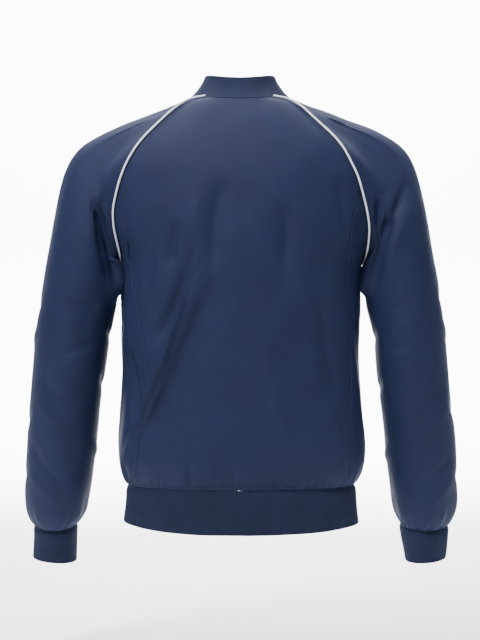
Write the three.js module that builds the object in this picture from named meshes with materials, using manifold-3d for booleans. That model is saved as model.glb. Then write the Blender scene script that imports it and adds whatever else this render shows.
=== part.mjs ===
// A raglan track jacket filled out with no wearer, in millimetres. Up is +Z, the back faces +Y, the front -Y
// and the left sleeve +X. The origin is the middle of the neck opening, level with the side neck points.
import * as THREE from "three";
import { mergeVertices } from "three/addons/utils/BufferGeometryUtils.js";
import Module from "manifold-3d";

// Cloth and seams
const clothThickness = 1.5;
const ribThickness = 2.4;
const seamGap = 0.34;
const sectionPower = 2.3;

// Heights of the body
const underarmHeight = -252;
const panelJunctionHeight = -150;
const hemSeamHeight = -590;
const hemBandHeight = 64.5;
const hemSideRise = { left: 11, right: 8 };

// Zip
const zipHalfOpening = 6;
const chainHalfWidth = 2.4;
const chainThickness = 3;
const tapeThickness = 0.9;
const tapeBehindPanel = 6;
const tapeClearance = 0.5;

// Grid counts: rows run down the cloth and columns run round it
const raglanRows = 9;
const lowerRows = 17;
const backColumns = 26;
const frontColumns = 8;
const sideColumns = 10;
const shoulderColumns = 4;
const sleeveHeadRows = 8;
const sleeveTubeRows = 14;
const ribRows = 4;
const armholeSamples = 120;

const back = 1;
const front = -1;
const left = 1;
const right = -1;
const sideNames = { [left]: "left", [right]: "right" };

function table(columns, rows) {
  const names = columns.split(" ");
  return rows.map((row) => Object.fromEntries(names.map((name, index) => [name, row[index]])));
}

// Depth of the body's middle behind and in front of the origin
const bodyDepths = table("height back front", [
  [8, 53, 22],
  [-9, 62, 36],
  [-35, 79, 57],
  [-72, 97, 78],
  [-110, 110, 100],
  [-150, 118, 116],
  [-200, 124, 126],
  [-245, 125, 129],
  [-310, 124, 127],
  [-371, 121, 124],
  [-432, 119, 123],
  [-493, 120, 124],
  [-530, 122, 126],
  [-560, 121, 125],
  [-578, 117, 121],
  [-590, 112, 115],
]);

// Half widths of the body below the arms
const bodyWidths = table("height left right", [
  [-252, 175.5, 184.5],
  [-270, 178, 184],
  [-290, 180.5, 184],
  [-320, 182, 184.5],
  [-371, 182, 182],
  [-432, 180, 183],
  [-493, 182, 188],
  [-530, 185, 192],
  [-554, 185.5, 191],
  [-568, 184, 188.5],
  [-580, 179.5, 184],
  [-590, 174, 177],
]);

// The raglan seam on the back, from the neck to the underarm
const backArmhole = table("height left right depth", [
  [-5.6, 51, 49, 45],
  [-9.5, 74, 71.5, 43],
  [-13, 83, 80, 46],
  [-21.7, 93.5, 91.5, 51],
  [-35.3, 108.5, 105, 58],
  [-48.5, 121, 118, 65],
  [-61.2, 133.4, 131.3, 71],
  [-73.6, 145, 143, 76],
  [-85.7, 153.7, 152.3, 79],
  [-97.6, 161, 159, 80.5],
  [-109.6, 168, 165, 81],
  [-121.3, 173.3, 171, 80],
  [-132.8, 177, 176, 78],
  [-150, 182, 180.5, 74],
  [-167.7, 187, 186, 68],
  [-189.5, 189.5, 191, 61],
  [-208, 186.5, 193.5, 53],
  [-225, 182.5, 192, 43],
  [-238, 179, 189, 31],
  [-247, 176.5, 186.3, 17],
  [-252, 175.5, 184.5, 0],
]);

// The raglan seam on the front
const frontArmhole = table("height left right depth", [
  [-35, 58, 57, 50],
  [-50, 77, 75.5, 59],
  [-70, 101, 99, 68],
  [-90, 123, 121, 74],
  [-110, 143, 141, 77],
  [-130, 161, 160, 77.5],
  [-150, 176, 176, 74],
  [-170, 185, 185, 67.5],
  [-190, 188.5, 191, 59],
  [-208, 186, 193.5, 51.5],
  [-225, 182.5, 192, 42],
  [-238, 179, 189, 30.5],
  [-247, 176.5, 186.3, 17],
  [-252, 175.5, 184.5, 0],
]);

// Seams between the back or a front and the side panel
const backSideSeam = table("height left right", [
  [-150, 182, 180.5],
  [-172, 178, 170],
  [-202, 171.5, 165],
  [-233, 166, 163.5],
  [-280, 160.5, 163.5],
  [-309, 155, 163.5],
  [-344, 148, 163.5],
  [-380, 139.5, 163.5],
  [-425, 135, 165.5],
  [-457, 137, 166.5],
  [-510, 146, 165.5],
  [-560, 155, 164.5],
  [-590, 157, 163],
]);
const frontSideSeam = table("height left right", [
  [-150, 176, 176],
  [-172, 173, 172],
  [-202, 168.5, 168],
  [-250, 165, 165],
  [-400, 163, 164],
  [-500, 164, 166],
  [-560, 162, 165],
  [-590, 157, 160],
]);

// Neck edge of the sleeve, over the shoulder, and the fold at the top of the collar round the neck
const shoulderNeck = table("across depth height", [
  [69, 26, -2],
  [79, 2, -1.5],
  [74, -26, -13],
]);
const collarTop = table("turn across depth height", [
  [0, 0, 42, 24],
  [30, 25, 39, 25.5],
  [60, 45, 25, 29],
  [90, 54.5, 0, 31],
  [120, 50, -28, 18],
  [150, 30, -57, -14],
  [170, 12, -69, -32],
  [180, 0, -71, -36],
]);

// Sections of the sleeves from the arm to the cuff: outer and inner edge, middle, depths and tilt
const sleeveSections = table("height lift outerLeft innerLeft outerRight innerRight middle back front tilt", [
  [-270, 24, 294, 184.5, 296, 189.5, 2, 73, 67, 0],
  [-297, 15, 300, 187, 302, 190.5, 3, 71, 66, 0],
  [-322, 9, 305, 190.5, 307, 195.5, 4, 69, 64.5, 0.02],
  [-358, 4, 310.5, 196.5, 312, 202, 5, 66, 62, 0.04],
  [-407, 1, 315, 203.5, 316.5, 206.5, 3, 63, 59, 0.07],
  [-456, 0, 320.5, 211, 322, 213, -2, 60, 57, 0.1],
  [-505, 0, 325, 216.5, 328.5, 219.5, -9, 58, 55, 0.13],
  [-555, 0, 329, 223, 333.5, 224.5, -19, 57, 53, 0.16],
  [-593, 0, 331.5, 228, 334.5, 230, -27, 56, 52, 0.18],
  [-618, 0, 332.5, 233, 337, 233, -33, 55, 51, 0.19],
  [-636, 0, 331, 236, 335.5, 237, -37, 53, 49, 0.2],
  [-647, 0, 327.5, 241, 331, 241, -39.5, 48.5, 45, 0.2],
  [-656, 0, 320.5, 250.5, 324, 245.5, -41, 42, 39, 0.2],
]);
const cuffSections = table("height lift outerLeft innerLeft outerRight innerRight middle back front tilt", [
  [-656, 0, 320.5, 250.5, 324, 245.5, -41, 42, 39, 0.2],
  [-669, 1, 319.5, 252.5, 323, 248.5, -43, 41, 38, 0.17],
  [-690, 2, 320.5, 253, 322, 253, -46.5, 40, 37, 0.12],
  [-709, 3, 322, 254, 320, 257, -49, 39, 36, 0.08],
]);

// Folds seen on each face, from one end past a bend to the other: troughs have a rise below zero
const foldColumns = "fromAcross fromHeight bendAcross bendHeight toAcross toHeight width rise";
const backFolds = table(foldColumns, [
  [50, -222, 98, -372, 179, -566, 20, 11],
  [72, -236, 84, -300, 112, -366, 17, -6],
  [30, -276, 76, -400, 128, -520, 20, -6],
  [168, -372, 150, -450, 150, -540, 17, -7],
  [22, -130, 40, -190, 42, -300, 19, -4],
  [100, -190, 100, -230, 112, -280, 16, -3],
  [-66, -170, -68, -230, -60, -310, 19, -3.5],
  [-118, -300, -132, -370, -138, -455, 18, -3.5],
  [-20, -330, -34, -430, -84, -550, 24, 4],
]);
const frontFolds = table(foldColumns, [
  [-60, -236, -104, -380, -172, -555, 18, 8],
  [-84, -246, -104, -310, -130, -372, 13, -5],
  [-42, -300, -90, -410, -140, -520, 17, -5],
  [150, -236, 128, -290, 92, -340, 15, 4],
  [132, -244, 112, -300, 78, -352, 13, -4],
  [70, -330, 96, -440, 132, -552, 17, 5],
  [46, -344, 74, -450, 104, -556, 15, -4],
  [-100, -150, -84, -200, -66, -240, 15, -3],
  [104, -146, 92, -196, 74, -236, 15, -3],
]);

// Gathers above the hem seam, by their turn from the middle of the back
const hemGathers = table("turn width reach rise", [
  [-172, 10, 30, -2.5],
  [-158, 13, 42, -4],
  [-141, 10, 34, -3],
  [-124, 12, 46, -4],
  [-109, 10, 28, -3],
  [-93, 12, 44, -4],
  [-76, 11, 36, -3.5],
  [-58, 13, 50, -4],
  [-41, 11, 32, -3],
  [-27, 13, 46, -4],
  [-11, 11, 34, -3],
  [4, 13, 50, -4],
  [19, 11, 34, -3],
  [35, 13, 44, -4],
  [52, 11, 30, -3],
  [70, 13, 48, -4.5],
  [86, 10, 30, -3],
  [101, 12, 44, -4],
  [119, 11, 34, -3],
  [135, 13, 46, -4],
  [154, 11, 32, -3],
  [170, 12, 42, -3],
]);

// Folds of the sleeves, named by the turn round the arm from its outer edge over the back
const sleeveFoldColumns = "fromTurn fromHeight toTurn toHeight width rise";
const sleeveFolds = {
  left: table(sleeveFoldColumns, [
    [112, -172, 150, -292, 11, -8],
    [150, -232, 156, -316, 13, 12],
    [84, -150, 96, -196, 13, -3],
    [248, -186, 212, -290, 11, -7],
    [150, -366, 96, -344, 15, -5],
    [156, -398, 70, -392, 17, 4],
    [150, -428, 92, -446, 15, -4],
    [206, -352, 262, -338, 15, -4],
    [60, -300, 100, -322, 17, 3],
    [140, -520, 80, -580, 17, -3],
    [210, -500, 290, -560, 17, -4],
  ]),
  right: table(sleeveFoldColumns, [
    [104, -160, 152, -310, 11, -8],
    [150, -230, 156, -314, 13, 13],
    [74, -128, 120, -226, 12, -4],
    [246, -180, 210, -296, 11, -7],
    [152, -352, 88, -336, 15, -4],
    [158, -388, 76, -404, 17, 4],
    [152, -420, 96, -430, 15, -4],
    [206, -360, 268, -350, 15, -4],
    [40, -330, 86, -300, 17, 3],
    [146, -540, 86, -586, 17, -3],
    [214, -520, 284, -566, 17, -4],
  ]),
};
const cuffGathers = table("turn width reach rise", [
  [8, 9, 30, -3],
  [39, 8, 40, -4],
  [66, 9, 28, -3],
  [98, 8, 44, -4],
  [127, 9, 30, -3],
  [161, 9, 42, -4.5],
  [196, 8, 30, -3],
  [228, 9, 44, -4],
  [262, 8, 30, -3],
  [291, 9, 40, -4],
  [325, 9, 32, -3],
]);

// Reads every column of a table at one place along its first column, on a smooth curve through the rows.
function read(rows, place) {
  const key = Object.keys(rows[0])[0];
  const rising = rows[rows.length - 1][key] > rows[0][key] ? 1 : -1;
  const found = rows.findIndex((row) => (row[key] - place) * rising >= 0);
  const upper = found < 0 ? rows.length - 1 : Math.max(found, 1);
  const lower = upper - 1;
  const span = rows[upper][key] - rows[lower][key];
  const share = THREE.MathUtils.clamp((place - rows[lower][key]) / span, 0, 1);
  const slope = (index, name) => {
    const before = rows[Math.max(index - 1, 0)];
    const after = rows[Math.min(index + 1, rows.length - 1)];
    return (after[name] - before[name]) / (after[key] - before[key]);
  };
  const values = {};
  for (const name of Object.keys(rows[0])) {
    const start = rows[lower][name];
    const end = rows[upper][name];
    const startSlope = slope(lower, name) * span;
    const endSlope = slope(upper, name) * span;
    const square = share * share;
    const cube = square * share;
    values[name] =
      start * (2 * cube - 3 * square + 1) +
      startSlope * (cube - 2 * square + share) +
      end * (3 * square - 2 * cube) +
      endSlope * (cube - square);
  }
  return values;
}

// A fold's line is followed in steps, and it dies away over a share of its length at each end.
const foldSteps = 14;
const fadeShare = 0.28;

const mix = THREE.MathUtils.lerp;
const toRadians = THREE.MathUtils.degToRad;
const toDegrees = THREE.MathUtils.radToDeg;
const smooth = THREE.MathUtils.smoothstep;
const point = (x, y, z) => new THREE.Vector3(x, y, z);
const steps = (count) => Array.from({ length: count + 1 }, (unused, index) => index / count);

// Height that a fold or gather adds at one place: a soft ridge along a bent line, faded at both ends.
function foldRise(fold, across, height) {
  const bendAcross = fold.bendAcross ?? (fold.fromAcross + fold.toAcross) / 2;
  const bendHeight = fold.bendHeight ?? (fold.fromHeight + fold.toHeight) / 2;
  let best = Infinity;
  let bestShare = 0;
  const bent = (from, bend, to, share) => mix(mix(from, bend, share), mix(bend, to, share), share);
  for (const share of steps(foldSteps)) {
    const lineAcross = bent(fold.fromAcross, bendAcross, fold.toAcross, share);
    const lineHeight = bent(fold.fromHeight, bendHeight, fold.toHeight, share);
    const distance = Math.hypot(across - lineAcross, height - lineHeight);
    if (distance < best) {
      best = distance;
      bestShare = share;
    }
  }
  const fade = smooth(bestShare, 0, fadeShare) * smooth(1 - bestShare, 0, fadeShare);
  return fold.rise * fade * Math.exp(-((best / fold.width) ** 2));
}

// Body surface

function armholeAt(side, face, height) {
  const seam = read(face === back ? backArmhole : frontArmhole, height);
  return { across: seam[sideNames[side]], depth: seam.depth };
}

function bodyDepth(face, height) {
  const depths = read(bodyDepths, height);
  return face === back ? depths.back : depths.front;
}

// Above the underarm the section is as wide as it must be to pass through the raglan seam.
function bodyHalfWidth(side, face, height) {
  if (height <= underarmHeight) return read(bodyWidths, height)[sideNames[side]];
  const seam = armholeAt(side, face, height);
  const share = seam.depth / bodyDepth(face, height);
  return seam.across / (1 - share ** sectionPower) ** (1 / sectionPower);
}

// Turn round the body, 0 at the middle of the back and 180 at the middle of the front, at a distance across.
function turnAt(side, face, across, height) {
  const share = Math.min(across / bodyHalfWidth(side, face, height), 1);
  const turn = toDegrees(Math.asin(share ** (sectionPower / 2)));
  return face === back ? turn : 180 - turn;
}

function plainBodyPoint(side, turn, height) {
  const face = turn <= 90 ? back : front;
  const angle = toRadians(turn);
  const across = bodyHalfWidth(side, face, height) * Math.max(Math.sin(angle), 0) ** (2 / sectionPower);
  const depth = bodyDepth(face, height) * Math.abs(Math.cos(angle)) ** (2 / sectionPower);
  return point(side * across, face * depth, height);
}

function bodyRise(spot, face, side, turn) {
  const faceShare = Math.abs(spot.y) / bodyDepth(face, spot.z);
  const folds = face === back ? backFolds : frontFolds;
  const offZip = face === front ? smooth(Math.abs(spot.x), 14, 50) : 1;
  let rise = 0;
  for (const fold of folds) rise += foldRise(fold, spot.x, spot.z) * smooth(faceShare, 0.12, 0.5) * offZip;
  for (const gather of hemGathers) {
    const place = plainBodyPoint(gather.turn < 0 ? right : left, Math.abs(gather.turn), hemSeamHeight);
    const distance = Math.hypot(spot.x - place.x * 1.03, spot.y - place.y * 1.03);
    const above = (spot.z - hemSeamHeight) / gather.reach;
    const zipShare = face === front ? offZip : 1;
    rise += gather.rise * Math.exp(-((distance / gather.width) ** 2)) * Math.exp(-above * above) * zipShare;
  }
  return rise * smooth(spot.z, hemSeamHeight, hemSeamHeight + 16) * smooth(-spot.z, 60, 120);
}

function bodyPoint(side, turn, height) {
  const spot = plainBodyPoint(side, turn, height);
  const face = turn <= 90 ? back : front;
  const width = bodyHalfWidth(side, face, height);
  const depth = bodyDepth(face, height);
  const outward = point(
    (side * (Math.abs(spot.x) / width) ** (sectionPower - 1)) / width,
    (face * (Math.abs(spot.y) / depth) ** (sectionPower - 1)) / depth,
    0,
  ).normalize();
  return spot.addScaledVector(outward, bodyRise(spot, face, side, turn));
}

function sideSeamTurn(side, face, height) {
  const seam = read(face === back ? backSideSeam : frontSideSeam, height);
  return turnAt(side, face, seam[sideNames[side]], height);
}

// Heights of evenly spaced points down the raglan seam, from the neck to where the side panel starts.
function raglanHeights(side, face) {
  const rows = face === back ? backArmhole : frontArmhole;
  const top = rows[0].height;
  const samples = steps(200).map((share) => {
    const height = mix(top, panelJunctionHeight, share);
    const seam = armholeAt(side, face, height);
    return { height, place: point(seam.across, seam.depth, height), run: 0 };
  });
  for (let index = 1; index < samples.length; index += 1) {
    samples[index].run = samples[index - 1].run + samples[index].place.distanceTo(samples[index - 1].place);
  }
  const whole = samples[samples.length - 1].run;
  return steps(raglanRows).map((share) => {
    const after = Math.max(samples.findIndex((sample) => sample.run >= share * whole - 1e-6), 1);
    const gap = samples[after].run - samples[after - 1].run;
    const within = (share * whole - samples[after - 1].run) / gap;
    return mix(samples[after - 1].height, samples[after].height, within);
  });
}

// Rows close up a little towards the hem, where the cloth blouses.
const lowerShares = steps(lowerRows).map((share) => share * (1 + 0.3 * (1 - share)));

// Back and fronts: each row runs from seam to seam, and lies lower in the middle where the neck edge dips.

function panelPoint(side, face, seamAcross, seamHeight, middleHeight, share) {
  const height = mix(middleHeight, seamHeight, share * share);
  return bodyPoint(side, turnAt(side, face, seamAcross * share, height), height);
}

function panelRows(side, face, middleTop) {
  const rows = raglanHeights(side, face).map((height, index) => ({
    seamAcross: armholeAt(side, face, height).across,
    seamHeight: height,
    middleHeight: mix(middleTop, panelJunctionHeight, index / raglanRows),
  }));
  for (const share of lowerShares.slice(1)) {
    const height = mix(panelJunctionHeight, hemSeamHeight, share);
    const seam = read(face === back ? backSideSeam : frontSideSeam, height);
    rows.push({ seamAcross: seam[sideNames[side]], seamHeight: height, middleHeight: height });
  }
  return rows;
}

function backGrid() {
  const neckMiddle = -9;
  const leftRows = panelRows(left, back, neckMiddle);
  const rightRows = panelRows(right, back, neckMiddle);
  return leftRows.map((leftRow, index) =>
    steps(backColumns).map((share) => {
      const side = share <= 0.5 ? left : right;
      const row = side === left ? leftRow : rightRows[index];
      const fromMiddle = Math.abs(1 - 2 * share);
      return panelPoint(side, back, row.seamAcross, row.seamHeight, row.middleHeight, fromMiddle);
    }),
  );
}

function frontGrid(side) {
  const neckMiddle = -72;
  return panelRows(side, front, neckMiddle).map((row) =>
    steps(frontColumns).map((share) => {
      const from = zipHalfOpening / row.seamAcross;
      return panelPoint(side, front, row.seamAcross, row.seamHeight, row.middleHeight, mix(from, 1, share));
    }),
  );
}

// Side panel: its columns start on the armhole and keep their share of the way between its two seams.

function shareOfSide(side, turn, height) {
  const backTurn = sideSeamTurn(side, back, height);
  const frontTurn = sideSeamTurn(side, front, height);
  return (turn - backTurn) / (frontTurn - backTurn);
}

function armholeShare(side, face, height) {
  const seam = armholeAt(side, face, height);
  return shareOfSide(side, turnAt(side, face, seam.across, height), height);
}

// The columns start at even distances along the armhole.
function sideColumnStarts(side) {
  const seamPoint = (face, share) => {
    const height = mix(panelJunctionHeight, underarmHeight, share);
    const seam = armholeAt(side, face, height);
    return { face, height, place: point(seam.across, face * seam.depth, height), run: 0 };
  };
  const down = steps(armholeSamples).map((share) => seamPoint(back, share));
  const upAgain = steps(armholeSamples).map((share) => seamPoint(front, 1 - share));
  const samples = [...down, ...upAgain.slice(1)];
  for (let index = 1; index < samples.length; index += 1) {
    samples[index].run = samples[index - 1].run + samples[index].place.distanceTo(samples[index - 1].place);
  }
  const whole = samples[samples.length - 1].run;
  return steps(sideColumns).map((share) => {
    const { face, height } = samples.find((sample) => sample.run >= share * whole - 1e-6);
    return { top: height, share: armholeShare(side, face, height) };
  });
}

function sideGrid(side) {
  const starts = sideColumnStarts(side);
  return lowerShares.map((down) =>
    starts.map(({ top, share }) => {
      const height = mix(top, hemSeamHeight, down);
      const backTurn = sideSeamTurn(side, back, height);
      const frontTurn = sideSeamTurn(side, front, height);
      return bodyPoint(side, mix(backTurn, frontTurn, share), height);
    }),
  );
}

// Sleeve: columns run from the armhole and neck edge to the cuff, first on the back, then on the front.

function neckEdge(side) {
  const backHeight = backArmhole[0].height;
  const frontHeight = frontArmhole[0].height;
  const backAcross = armholeAt(side, back, backHeight).across;
  const backEnd = bodyPoint(side, turnAt(side, back, backAcross, backHeight), backHeight);
  const frontAcross = armholeAt(side, front, frontHeight).across;
  const frontEnd = bodyPoint(side, turnAt(side, front, frontAcross, frontHeight), frontHeight);
  const middle = shoulderNeck.map((row) => point(side * row.across, row.depth, row.height));
  const overShoulder = new THREE.CatmullRomCurve3([frontEnd, ...middle.reverse(), backEnd]);
  return overShoulder.getSpacedPoints(shoulderColumns);
}

function armholeLoop(side, backPanel, sidePanel, frontPanel) {
  const seamColumn = side === left ? 0 : backColumns;
  const backSeam = backPanel.slice(0, raglanRows + 1).map((row) => row[seamColumn]);
  const frontSeam = frontPanel.slice(0, raglanRows + 1).map((row) => row[frontColumns]);
  const neck = neckEdge(side).slice(1, -1);
  return [...backSeam, ...sidePanel[0].slice(1, -1), ...frontSeam.reverse(), ...neck];
}

const sleeveColumns = 2 * raglanRows + sideColumns + shoulderColumns;
const turnStep = 360 / sleeveColumns;
const firstTurn = (shoulderColumns / 2) * turnStep;

// A point of a section, by its turn round the arm from the outer edge over the back.
function armPoint(side, section, turn) {
  const name = side === left ? "Left" : "Right";
  const outer = section["outer" + name];
  const inner = section["inner" + name];
  const angle = toRadians(turn);
  const across = (outer + inner) / 2 + ((outer - inner) / 2) * Math.cos(angle);
  const depth = Math.sin(angle) * (Math.sin(angle) > 0 ? section.back : section.front);
  const height = section.height + section.lift * Math.cos(angle) - section.tilt * depth;
  return point(side * across, section.middle + depth, height);
}

function unit(vector) {
  return vector.clone().normalize();
}

// Directions in which the sleeve leaves the armhole: outwards, towards the middle of the arm, and up
const leavingDirections = table("turn outwards inwards upwards", [
  [0, 0.935, 0, -0.355],
  [30, 0.92, 0.06, -0.39],
  [60, 0.88, 0.18, -0.45],
  [90, 0.87, 0.25, -0.45],
  [115, 0.88, 0.3, -0.4],
  [135, 0.86, 0.12, -0.5],
  [160, 0.8, -0.1, -0.59],
  [180, 0.8, 0, -0.6],
]);

// How far the sleeve keeps to its leaving and arriving directions, as a share of the way between them
const plainReach = 0.37;
const shoulderReach = 0.28;
const shoulderSlope = { left: -0.04, right: -0.01 };

function leavingDirection(side, turn) {
  const direction = read(leavingDirections, 180 - Math.abs(180 - turn));
  const overShoulder = Math.max(Math.cos(toRadians(turn)), 0);
  const upwards = direction.upwards + shoulderSlope[sideNames[side]] * overShoulder;
  const depth = turn < 180 ? -direction.inwards : direction.inwards;
  return unit(point(side * direction.outwards, depth, upwards));
}

function sleeveRow(side, place) {
  const section = read(sleeveSections, place);
  return steps(sleeveColumns - 1).map((unused, column) => {
    return armPoint(side, section, firstTurn + column * turnStep);
  });
}

function sleeveRise(side, spot, turn) {
  let rise = 0;
  for (const fold of sleeveFolds[sideNames[side]]) {
    const middleTurn = (fold.fromTurn + fold.toTurn) / 2;
    const radius = 60;
    const across = toRadians(turn - middleTurn) * radius;
    const line = {
      fromAcross: toRadians(fold.fromTurn - middleTurn) * radius,
      toAcross: toRadians(fold.toTurn - middleTurn) * radius,
      fromHeight: fold.fromHeight,
      toHeight: fold.toHeight,
      width: fold.width,
      rise: fold.rise,
    };
    rise += foldRise(line, across, spot.z);
  }
  const cuffHeight = cuffSections[0].height;
  for (const gather of cuffGathers) {
    const away = Math.abs(((turn - gather.turn + 540) % 360) - 180);
    const above = (spot.z - cuffHeight) / gather.reach;
    const across = (toRadians(away) * 50) / gather.width;
    rise += gather.rise * Math.exp(-across * across) * Math.exp(-above * above);
  }
  return rise * smooth(spot.z, cuffHeight, cuffHeight + 16);
}

function sleeveGrid(side, loop) {
  const top = sleeveSections[0].height;
  const bottom = sleeveSections[sleeveSections.length - 1].height;
  const firstRow = sleeveRow(side, top);
  const nextRow = sleeveRow(side, top - 10);
  const headCurves = loop.map((start, column) => {
    const end = firstRow[column];
    const upArm = unit(end.clone().sub(nextRow[column]));
    const length = start.distanceTo(end);
    const turn = (firstTurn + column * turnStep) % 360;
    const overShoulder = Math.max(Math.cos(toRadians(turn)), 0);
    const reach = length * (plainReach + shoulderReach * overShoulder ** 2);
    const leave = start.clone().addScaledVector(leavingDirection(side, turn), reach);
    const arrive = end.clone().addScaledVector(upArm, reach);
    return new THREE.CubicBezierCurve3(start, leave, arrive, end);
  });
  const head = steps(sleeveHeadRows).map((share) => headCurves.map((curve) => curve.getPoint(share)));
  const tube = steps(sleeveTubeRows)
    .slice(1)
    .map((share) => sleeveRow(side, mix(top, bottom, share * (1 + 0.3 * (1 - share)))));
  const grid = [...head, ...tube];
  // the columns of the right sleeve run the other way round, so its directions are turned about
  const normals = gridNormals(grid, true);
  return grid.map((row, rowIndex) =>
    row.map((spot, column) => {
      const turn = firstTurn + column * turnStep;
      const rise = sleeveRise(side, spot, turn) * smooth(rowIndex, 0, 2.5);
      return spot.clone().addScaledVector(normals[rowIndex][column], side * rise);
    }),
  );
}

// Rib knit parts

function collarGrid(neckLoop) {
  const bow = 3;
  return steps(ribRows).map((share) =>
    neckLoop.map((base) => {
      const turn = toDegrees(Math.atan2(Math.abs(base.x), base.y));
      const top = read(collarTop, turn);
      const side = base.x < 0 ? right : left;
      const across = Math.max(top.across, Math.min(Math.abs(base.x), zipHalfOpening));
      const rim = point(side * across, top.depth, top.height);
      const besideZip = base.y < 0 ? smooth(Math.abs(base.x), zipHalfOpening + 1, 40) : 1;
      const inward = unit(point(-base.x, -base.y, 0));
      inward.multiplyScalar(bow * besideZip * Math.sin(Math.PI * share));
      return base.clone().lerp(rim, share).add(inward);
    }),
  );
}

function hemBandGrid(hemLoop) {
  return steps(ribRows).map((share) =>
    hemLoop.map((base) => {
      const side = base.x < 0 ? right : left;
      const width = bodyHalfWidth(side, back, hemSeamHeight);
      const sideShare = Math.min(Math.abs(base.x) / width, 1) ** 3;
      const drop = hemBandHeight - hemSideRise[sideNames[side]] * sideShare;
      const flare = 1 - 0.006 * Math.sin(Math.PI * share) + 0.022 * share * sideShare;
      const across = Math.abs(base.x) <= zipHalfOpening + 1 ? base.x : base.x * flare;
      return point(across, base.y * (1 - 0.012 * share), base.z - drop * share);
    }),
  );
}

function cuffGrid(side) {
  const top = cuffSections[0].height;
  const bottom = cuffSections[cuffSections.length - 1].height;
  return steps(ribRows).map((share) => {
    const section = read(cuffSections, mix(top, bottom, share));
    return steps(sleeveColumns - 1).map((unused, column) => {
      return armPoint(side, section, firstTurn + column * turnStep);
    });
  });
}

// Walls

// Outward directions at the points of a grid whose columns run round the piece and whose rows run along it.
function gridNormals(grid, wraps) {
  const lastRow = grid.length - 1;
  const count = grid[0].length;
  const around = (row, column) => {
    if (wraps) return grid[row][(column + count) % count];
    return grid[row][THREE.MathUtils.clamp(column, 0, count - 1)];
  };
  const normals = grid.map((row, rowIndex) =>
    row.map((unused, column) => {
      const above = grid[Math.max(rowIndex - 1, 0)][column];
      const below = grid[Math.min(rowIndex + 1, lastRow)][column];
      const down = below.clone().sub(above);
      const across = around(rowIndex, column + 1).clone().sub(around(rowIndex, column - 1));
      return unit(down.cross(across));
    }),
  );
  return normals;
}

// Directions shared by the pieces that meet at a seam, so that their cut edges stay parallel.
class SeamDirections {
  constructor() {
    this.sums = new Map();
  }

  key(spot) {
    return [spot.x, spot.y, spot.z].map((value) => Math.round(value * 50)).join(" ");
  }

  add(sheet) {
    forEdge(sheet, (row, column) => {
      const key = this.key(sheet.grid[row][column]);
      const sum = this.sums.get(key) ?? point(0, 0, 0);
      this.sums.set(key, sum.add(sheet.normals[row][column]));
    });
  }

  at(spot) {
    return unit(this.sums.get(this.key(spot)));
  }
}

function forEdge(sheet, visit) {
  const lastRow = sheet.grid.length - 1;
  const lastColumn = sheet.grid[0].length - 1;
  sheet.grid.forEach((row, rowIndex) =>
    row.forEach((unused, column) => {
      const sideEdge = !sheet.wraps && (column === 0 || column === lastColumn);
      if (rowIndex === 0 || rowIndex === lastRow || sideEdge) visit(rowIndex, column);
    }),
  );
}

function makeSheet(name, grid, thickness, wraps = false, turned = false) {
  const normals = gridNormals(grid, wraps);
  if (turned) normals.flat().forEach((normal) => normal.negate());
  return { name, grid, thickness, wraps, normals };
}

// Half a seam gap, from the seam into the cloth, for a point on the edge of a sheet.
function edgeInset(sheet, row, column) {
  const { grid, wraps } = sheet;
  const lastRow = grid.length - 1;
  const count = grid[0].length;
  const here = grid[row][column];
  const normal = sheet.shared[row][column];
  const inset = point(0, 0, 0);
  const addAcross = (along, inside) => {
    const direction = unit(along.cross(normal));
    if (direction.dot(inside) < 0) direction.negate();
    inset.addScaledVector(direction, seamGap / 2);
  };
  if (row === 0 || row === lastRow) {
    const next = wraps ? grid[row][(column + 1) % count] : grid[row][Math.min(column + 1, count - 1)];
    const previous = wraps ? grid[row][(column + count - 1) % count] : grid[row][Math.max(column - 1, 0)];
    const inside = grid[row === 0 ? 1 : lastRow - 1][column].clone().sub(here);
    addAcross(next.clone().sub(previous), inside);
  }
  if (!wraps && (column === 0 || column === count - 1)) {
    const next = grid[Math.min(row + 1, lastRow)][column];
    const previous = grid[Math.max(row - 1, 0)][column];
    const inside = grid[row][column === 0 ? 1 : count - 2].clone().sub(here);
    addAcross(next.clone().sub(previous), inside);
  }
  return inset;
}

function finishSheet(sheet, seams) {
  sheet.shared = sheet.normals.map((row) => row.map((normal) => normal.clone()));
  forEdge(sheet, (row, column) => {
    sheet.shared[row][column] = seams.at(sheet.grid[row][column]);
  });
  sheet.outer = sheet.grid.map((row) => row.map((spot) => spot.clone()));
  forEdge(sheet, (row, column) => sheet.outer[row][column].add(edgeInset(sheet, row, column)));
  sheet.inner = sheet.outer.map((row, rowIndex) =>
    row.map((spot, column) => spot.clone().addScaledVector(sheet.shared[rowIndex][column], -sheet.thickness)),
  );
}

const plainCloth = new THREE.MeshStandardMaterial({ color: 0x24365c, flatShading: true });

function meshOf(name, vertices, triangles) {
  const geometry = new THREE.BufferGeometry();
  const places = vertices.flatMap((vertex) => vertex.toArray());
  geometry.setAttribute("position", new THREE.Float32BufferAttribute(places, 3));
  const volume = triangles.reduce((sum, [a, b, c]) => {
    return sum + vertices[a].dot(vertices[b].clone().cross(vertices[c]));
  }, 0);
  const facing = volume < 0 ? triangles.map(([a, b, c]) => [a, c, b]) : triangles;
  geometry.setIndex(facing.flat());
  geometry.computeVertexNormals();
  const mesh = new THREE.Mesh(geometry, plainCloth);
  mesh.name = name;
  return mesh;
}

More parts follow.
